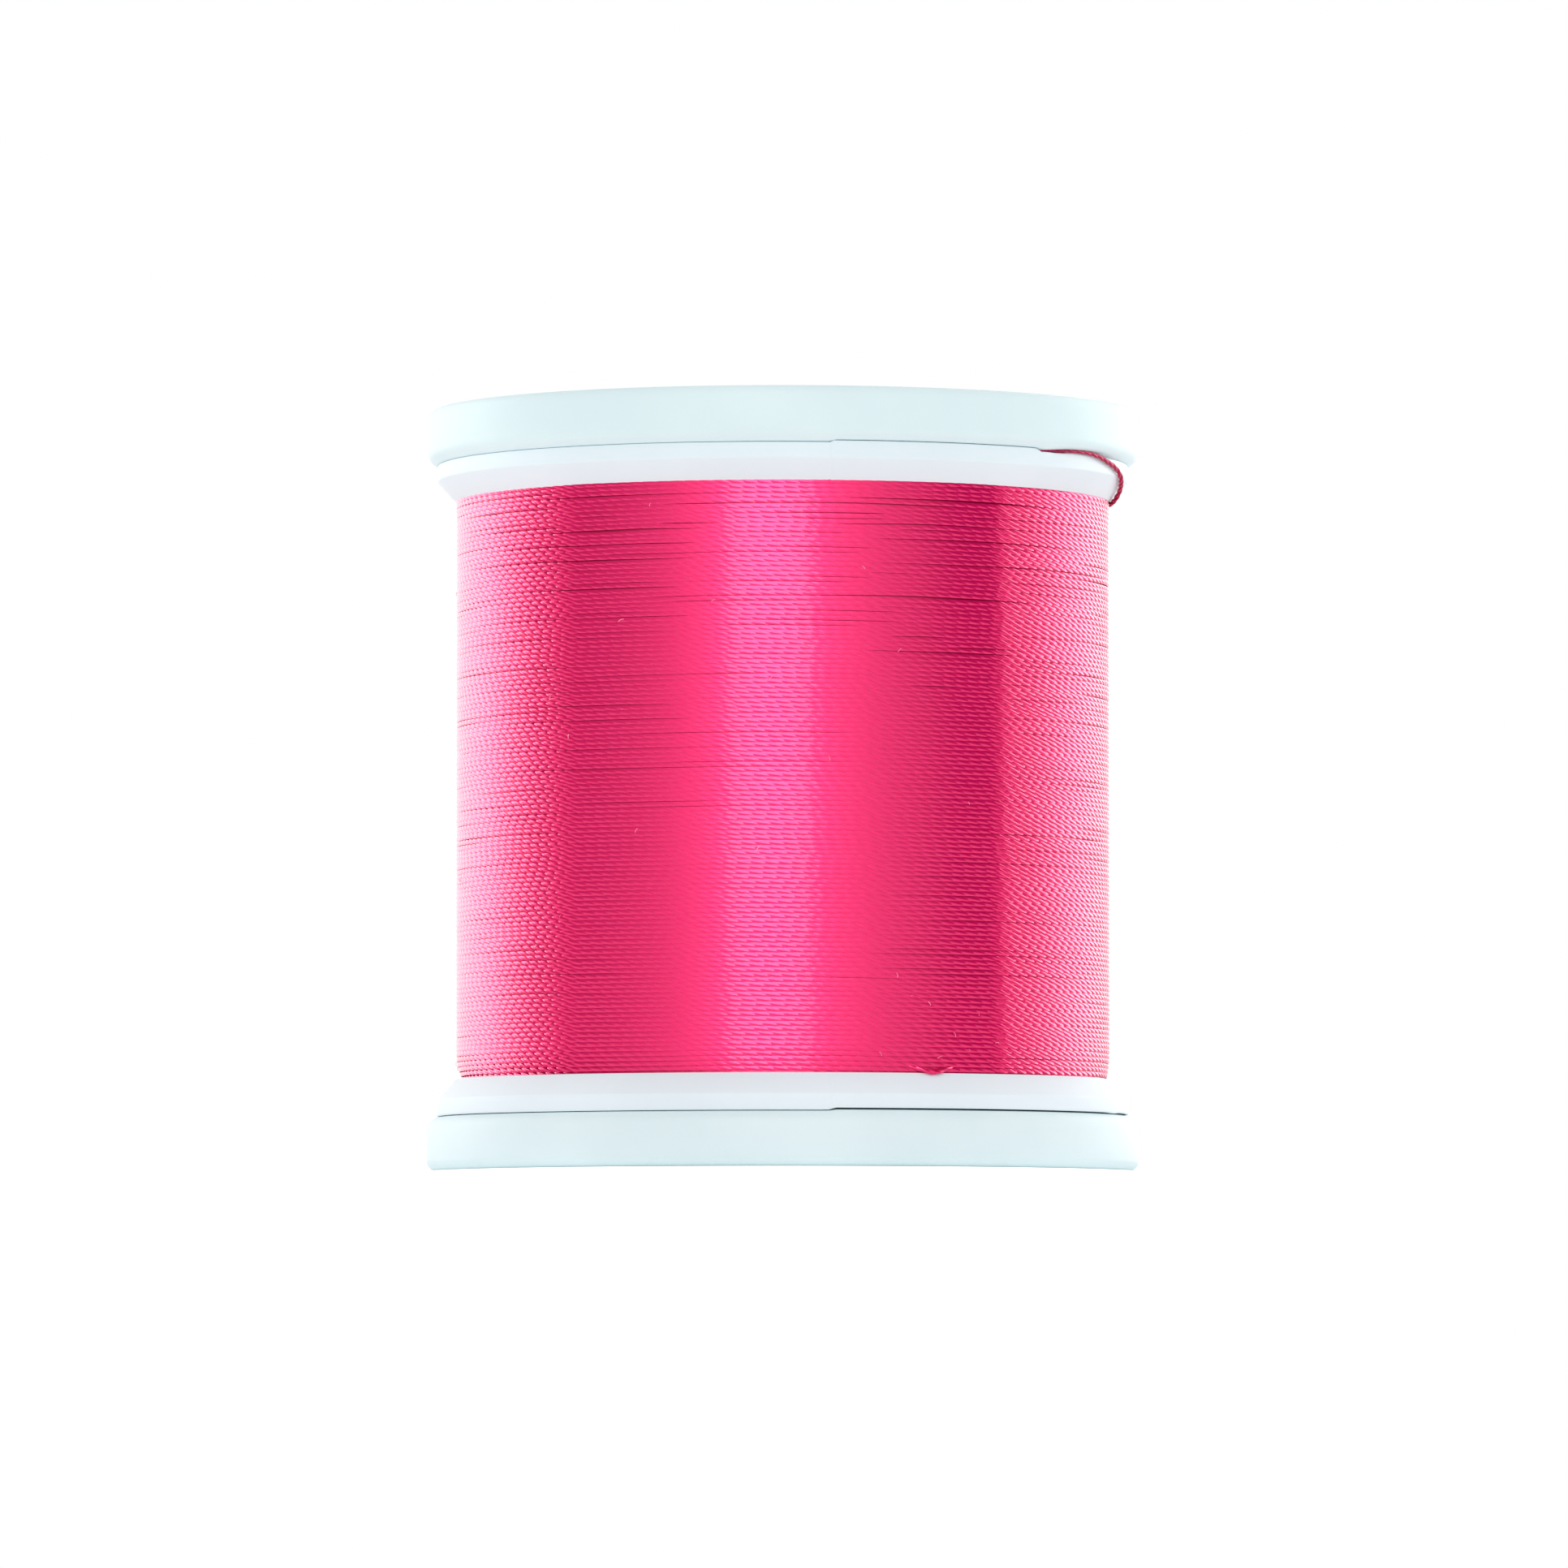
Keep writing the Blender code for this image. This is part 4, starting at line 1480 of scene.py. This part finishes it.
@dataclass
class Fluff:
    """Stray filament ends and lint on the winding: short bent fibres, some at noted places.

    The bend gives a fibre of length 1 by its two ends and the point between them that draws it.
    """

    fluff_finish: Material
    noted: Pairs = (
        (-12.0, 22.2), (-29.0, 21.5), (14.0, 23.5), (-26.0, 13.2), (20.0, 7.5), (26.0, 6.4), (31.0, 5.2), (36.0, 6.0),
        (28.0, 4.3), (17.0, 4.4), (-7.0, 4.2), (34.0, 4.6), (40.0, 4.9), (-58.0, 11.0), (-40.0, 17.0), (8.0, 16.0),
    )
    scattered: int = 40
    scatter_foot: float = 0.4
    scatter_height: float = 22.3
    scatter_shape: tuple[float, float] = (0.9, 1.3)
    sunk: float = 0.02
    thickness: float = 0.02
    length: float = 0.17
    length_spread: tuple[float, float] = (0.45, 1.5)
    bend: tuple[tuple[float, float, float], ...] = ((-0.5, 0.0, 0.0), (0.0, 0.18, 0.5), (0.5, -0.1, 0.02))
    bend_steps: int = 6
    sides: int = 5
    stand: float = 0.6
    spin: float = 1.2
    seed: int = 5

    def inputs(self) -> dict[str, object]:
        """Name the values that the tree takes.

        Returns:
            The value of each input.
        """
        return {
            "Thickness": self.thickness * MM,
            "Length": self.length * MM,
            "Seed": self.seed,
            "Material": self.fluff_finish,
        }

    def tree(self) -> Tree:
        """Build the Geometry Nodes tree that sets a bent fibre on each point.

        Returns:
            The tree.
        """
        tree, node, given = new_tree("stray_fibres", "Fibres", self.inputs(), "Spots")
        bend = node("GeometryNodeCurveQuadraticBezier", self.bend_steps, *self.bend)
        radius = node(Op.DIVIDE, given["Thickness"], node(Op.MULTIPLY, given["Length"], 2.0))
        ring = node("GeometryNodeCurvePrimitiveCircle", {"Resolution": self.sides, "Radius": radius})
        fibre = node("GeometryNodeCurveToMesh", {"Curve": bend, "Profile Curve": ring, "Fill Caps": True})
        low, high = self.length_spread
        size = node("FunctionNodeRandomValue", {2: low, 3: high, "Seed": given["Seed"]}, data_type="FLOAT")
        size = node(Op.MULTIPLY, size.outputs[1], given["Length"])
        spin = {2: -self.spin, 3: self.spin, "Seed": node(Op.WHOLE_ADD, given["Seed"], 1)}
        spin = node("FunctionNodeRandomValue", spin, data_type="FLOAT")
        outwards = node(Op.VECTOR_MULTIPLY, node("GeometryNodeInputPosition"), (1.0, 1.0, 0.0))
        lie = node("FunctionNodeAlignRotationToVector", None, 1.0, outwards, axis="Z")
        turn = node("FunctionNodeAxisAngleToRotation", (0.0, 0.0, 1.0), spin.outputs[1])
        lie = node("FunctionNodeRotateRotation", lie, turn, rotation_space="LOCAL")
        scale = node(COMBINE, size, size, node(Op.MULTIPLY, size, self.stand))
        fibres = {"Points": given["Spots"], "Instance": fibre, "Rotation": lie, "Scale": scale}
        fibres = node("GeometryNodeRealizeInstances", node("GeometryNodeInstanceOnPoints", fibres))
        fibres = node("GeometryNodeSetShadeSmooth", {"Geometry": fibres, "Shade Smooth": True})
        end_tree(node, given, fibres)
        return tree

    def build(self) -> None:
        """Scatter the fibres on the winding."""
        draw = np.random.default_rng(self.seed)
        spots = list(self.noted)
        low = SIZES.winding_foot + self.scatter_foot
        for _ in range(self.scattered):
            spots.append((draw.uniform(-180, 180), low + self.scatter_height * draw.beta(*self.scatter_shape)))
        mesh = bpy.data.meshes.new("spots")
        points = [around(angle, SIZES.winding - self.sunk, height) for angle, height in spots]
        mesh.from_pydata(points, [], [])
        mesh = grown(new_object("stray_fibres_spots", mesh), self.tree(), self.inputs())
        place("stray_fibres", mesh, self.fluff_finish, Body.SPOOL, (), None)


# The studio


@dataclass(frozen=True)
class Lamp:
    """A soft rectangular lamp that faces the spool's middle.

    Its angles are round the spool and above the spool's middle, and its distance and size in millimetres.
    A radiance of 1 is the white of the surround.
    """

    name: str
    azimuth: float
    size: tuple[float, float]
    radiance: float
    sees: Ray
    elevation: float = 2.0
    distance: float = 800.0

    def build(self) -> None:
        """Put the lamp into the scene."""
        data = bpy.data.lights.new(self.name, "AREA")
        data.shape = "RECTANGLE"
        data.size, data.size_y = self.size[0] * MM, self.size[1] * MM
        data.energy = self.radiance * math.pi * data.size * data.size_y
        lamp = new_object(self.name, data)
        lift = math.radians(self.elevation)
        middle = Vector((0, 0, SIZES.height / 2 * MM))
        away = around(self.azimuth, self.distance * math.cos(lift), self.distance * math.sin(lift))
        lamp.location = middle + away
        lamp.rotation_euler = away.to_track_quat("Z", "Y").to_euler()
        lamp.visible_camera = False
        lamp.visible_glossy = self.sees is Ray.GLOSS
        lamp.visible_diffuse = self.sees is Ray.MATT


@dataclass
class Studio:
    """The camera at the photograph's viewing angle, the soft lamps, the pale floor and the white surround.

    The camera stands far off with a long lens, a little below the spool's foot, and is tilted up. The room
    gives by the angle round the spool how bright the surround is for gloss.
    """

    image: int = 1932
    distance: float = 495.7
    camera_height: float = -7.88
    focal_pixels: float = 15184.0
    axis_pixel: float = 964.5
    eye_pixel: float = 1684.9
    sensor: float = 36.0
    even_light: float = 0.41
    side_light: float = 0.88
    sky_light: float = 0.38
    room: Pairs = (
        (-180.0, 1.2), (-160.0, 1.8), (-146.0, 2.6), (-127.0, 4.5), (-116.0, 5.5), (-107.0, 4.8), (-100.0, 2.2),
        (-94.0, 0.4), (-80.0, 0.15), (-67.0, 0.25), (-54.0, 0.45), (-42.0, 0.7), (-32.0, 1.1), (-20.0, 2.0),
        (-8.0, 2.6), (4.0, 2.5), (12.0, 1.9), (20.0, 1.5), (28.0, 1.1), (37.0, 0.8), (49.0, 0.5), (60.0, 0.12),
        (68.0, 0.0), (90.0, 0.0), (98.0, 0.15), (103.0, 1.0), (109.0, 3.4), (118.0, 5.8), (129.0, 5.4),
        (145.0, 4.4), (179.0, 1.2),
    )
    behind_from: tuple[float, float] = (-0.2, 0.15)
    behind_dimming: float = 0.92
    steep_from: tuple[float, float] = (0.45, 0.75)
    floor_radius: float = 400.0
    floor_depth: float = 0.02
    floor_sides: int = 96
    floor_fade: tuple[float, float] = (0.12, 0.8)
    floor_grazing: float = 0.9
    board_colour: str = "FAFAFA"
    board_glow: float = 0.18
    lamps: tuple[Lamp, ...] = (
        Lamp("front_light", 0.0, (500.0, 900.0), 0.62, Ray.MATT),
        Lamp("front_gleam", -4.0, (420.0, 1500.0), 2.4, Ray.GLOSS),
    )

    def camera(self) -> None:
        """Set the camera so that the spool's axis and the eye level fall where the photograph has them."""
        data = bpy.data.cameras.new("camera")
        data.sensor_width = self.sensor
        data.lens = self.sensor * self.focal_pixels / self.image
        camera = new_object("camera", data)
        tilt = math.atan((self.eye_pixel - self.image / 2) / self.focal_pixels)
        aside = math.atan((self.image / 2 - self.axis_pixel) / self.focal_pixels)
        camera.location = (0.0, -self.distance * MM, self.camera_height * MM)
        camera.rotation_euler = (math.pi / 2 + tilt, 0.0, -aside)
        bpy.context.scene.camera = camera

    def surround(self) -> None:
        """Build the world: white for the camera, and for the object an even light and a room for gloss.

        The light on matt surfaces comes from all round, more from both sides and from above. Gloss shows
        the room's bright and dark walls.
        """
        world = bpy.data.worlds.new("surround")
        world.use_nodes = True
        tree = world.node_tree
        tree.nodes.clear()
        node = partial(add, tree)
        path = node("ShaderNodeLightPath").outputs
        side = node("ShaderNodeSeparateXYZ", node("ShaderNodeTexCoord").outputs["Generated"]).outputs
        turn = node(Op.ARCTAN2, side["X"], node(Op.MULTIPLY, side["Y"], -1.0))
        turn = node(Op.MULTIPLY_ADD, turn, 1 / math.tau, 0.5)
        brightest = max(level for _, level in self.room)
        stops = [(angle / 360 + 0.5, (*[level / brightest] * 3, 1.0)) for angle, level in self.room]
        room = node(RAMP, turn, stops=stops)
        # Behind the spool the room is dim above and below; in front it is lit over its whole height
        behind = node(MAP_RANGE, side["Y"], *self.behind_from, 0.0, self.behind_dimming)
        steep = node(MAP_RANGE, node(Op.ABSOLUTE, side["Z"]), *self.steep_from, 0.0, brightest)
        dim = node(Op.MULTIPLY_ADD, node(Op.MULTIPLY, behind, steep), -1.0, brightest)
        gloss = node(Op.MULTIPLY, room, dim)
        above = node(Op.MAXIMUM, side["Z"], 0.0)
        aside = node(Op.MULTIPLY, side["X"], side["X"])
        matt = node(Op.MULTIPLY_ADD, aside, self.side_light, self.even_light)
        matt = node(Op.MULTIPLY_ADD, above, self.sky_light, matt)
        # Each kind of ray sees its own level, so that no matt light gets into the gloss
        seen = node(Op.MULTIPLY, path["Is Diffuse Ray"], matt)
        seen = node(Op.MULTIPLY_ADD, path["Is Glossy Ray"], gloss, seen)
        seen = node("ShaderNodeMix", path["Is Camera Ray"], {2: seen, 3: 1.0}, data_type="FLOAT")
        node("ShaderNodeOutputWorld", node("ShaderNodeBackground", WHITE, seen))
        bpy.context.scene.world = world

    def board(self) -> Material:
        """Build the floor's matt white board, which fades out far off and is clear from below.

        Returns:
            The material.
        """
        material = bpy.data.materials.new("matt_white_board")
        material.use_nodes = True
        tree = material.node_tree
        tree.nodes.clear()
        node = partial(add, tree)
        far = node(Op.VECTOR_LENGTH, node("ShaderNodeTexCoord").outputs["Object"]).outputs["Value"]
        fade = node(MAP_RANGE, far, *[share * self.floor_radius * MM for share in self.floor_fade], 0.0, 1.0,
                    interpolation_type="SMOOTHSTEP")
        camera = node("ShaderNodeLightPath").outputs["Is Camera Ray"]
        back = node("ShaderNodeNewGeometry").outputs["Backfacing"]
        # Seen from just below its plane, the board under the spool's foot is as white as the surround
        grazing = node("ShaderNodeLayerWeight", 0.5).outputs["Facing"]
        grazing = node(Op.MORE, grazing, self.floor_grazing)
        hides = node(Op.MULTIPLY, grazing, node(Op.LESS, far, SIZES.cap * MM))
        clear_back = node(Op.MULTIPLY, back, node(Op.SUBTRACT, 1.0, hides))
        unseen = node(Op.MULTIPLY, camera, node(Op.MAXIMUM, fade, clear_back))
        white = node(Op.MULTIPLY, camera, back)
        glow = node("ShaderNodeMix", white, {2: self.board_glow, 3: 1.0}, data_type="FLOAT")
        matt = node("ShaderNodeBsdfDiffuse", linear(self.board_colour))
        board = node("ShaderNodeAddShader", matt, node("ShaderNodeEmission", WHITE, glow))
        clear = node("ShaderNodeBsdfTransparent")
        node("ShaderNodeOutputMaterial", node("ShaderNodeMixShader", unseen, board, clear))
        return material

    def floor(self) -> None:
        """Lay the pale disc that keeps the spool's shadow."""
        shape = bmesh.new()
        bmesh.ops.create_circle(
            shape, cap_ends=True, segments=self.floor_sides, radius=self.floor_radius * MM,
            matrix=Matrix.Translation((0, 0, -self.floor_depth * MM)),
        )
        mesh = mesh_of(shape, "floor")
        mesh.materials.append(self.board())
        new_object("floor", mesh)

    def build(self) -> None:
        """Set up the whole studio."""
        scene = bpy.context.scene
        scene.view_settings.view_transform = "Standard"
        self.camera()
        self.surround()
        self.floor()
        for lamp in self.lamps:
            lamp.build()
        log.info("studio: camera at %.1f mm, lens %.1f mm", self.distance, scene.camera.data.lens)


def main() -> None:
    """Build the studio and every part of the spool."""
    logging.basicConfig(level=logging.INFO, format="%(name)s: %(message)s", stream=sys.stdout)
    Studio().build()
    body_plastic = MouldedPolystyrene(name="moulded_polystyrene_body", colour="EAF7FC", shade="E6F3F8").build()
    cap_plastic = MouldedPolystyrene(name="moulded_polystyrene_cap").build()
    paper = UncoatedPaper().build()
    thread = FilamentThread().build()
    # Off the winding, the thread has no lit neighbours that shine through it, so its finish is a darker copy of the
    # thread's: painted shade, with painted shade in its creases too
    single = FilamentThread(name="dyed_polyester_single_thread", colour="B40E4C", deep="7C0630", gleam="F06A9C",
                            metallic=0.15, clear_skin=0.1).build()
    SpoolBody(body_plastic).build()
    SnapCap(End.UPPER, cap_plastic).build()
    SnapCap(End.LOWER, cap_plastic, edge_shift=((-172.3, 0.0), (-171.7, 0.045), (7.4, 0.045), (8.6, 0.0))).build()
    for end in End:
        PaperLabel(end, paper).build()
    Winding(thread).build()
    PliedCord(single, thickness=0.205).build("loose_thread_end", smooth_route(LOOSE_END, 4), ["thread_tail"])
    PliedCord(thread).build("slack_thread_loop", smooth_route(SLACK_LOOP, 6))
    Fluff(LooseFluff().build()).build()


if __name__ == "__main__":
    main()
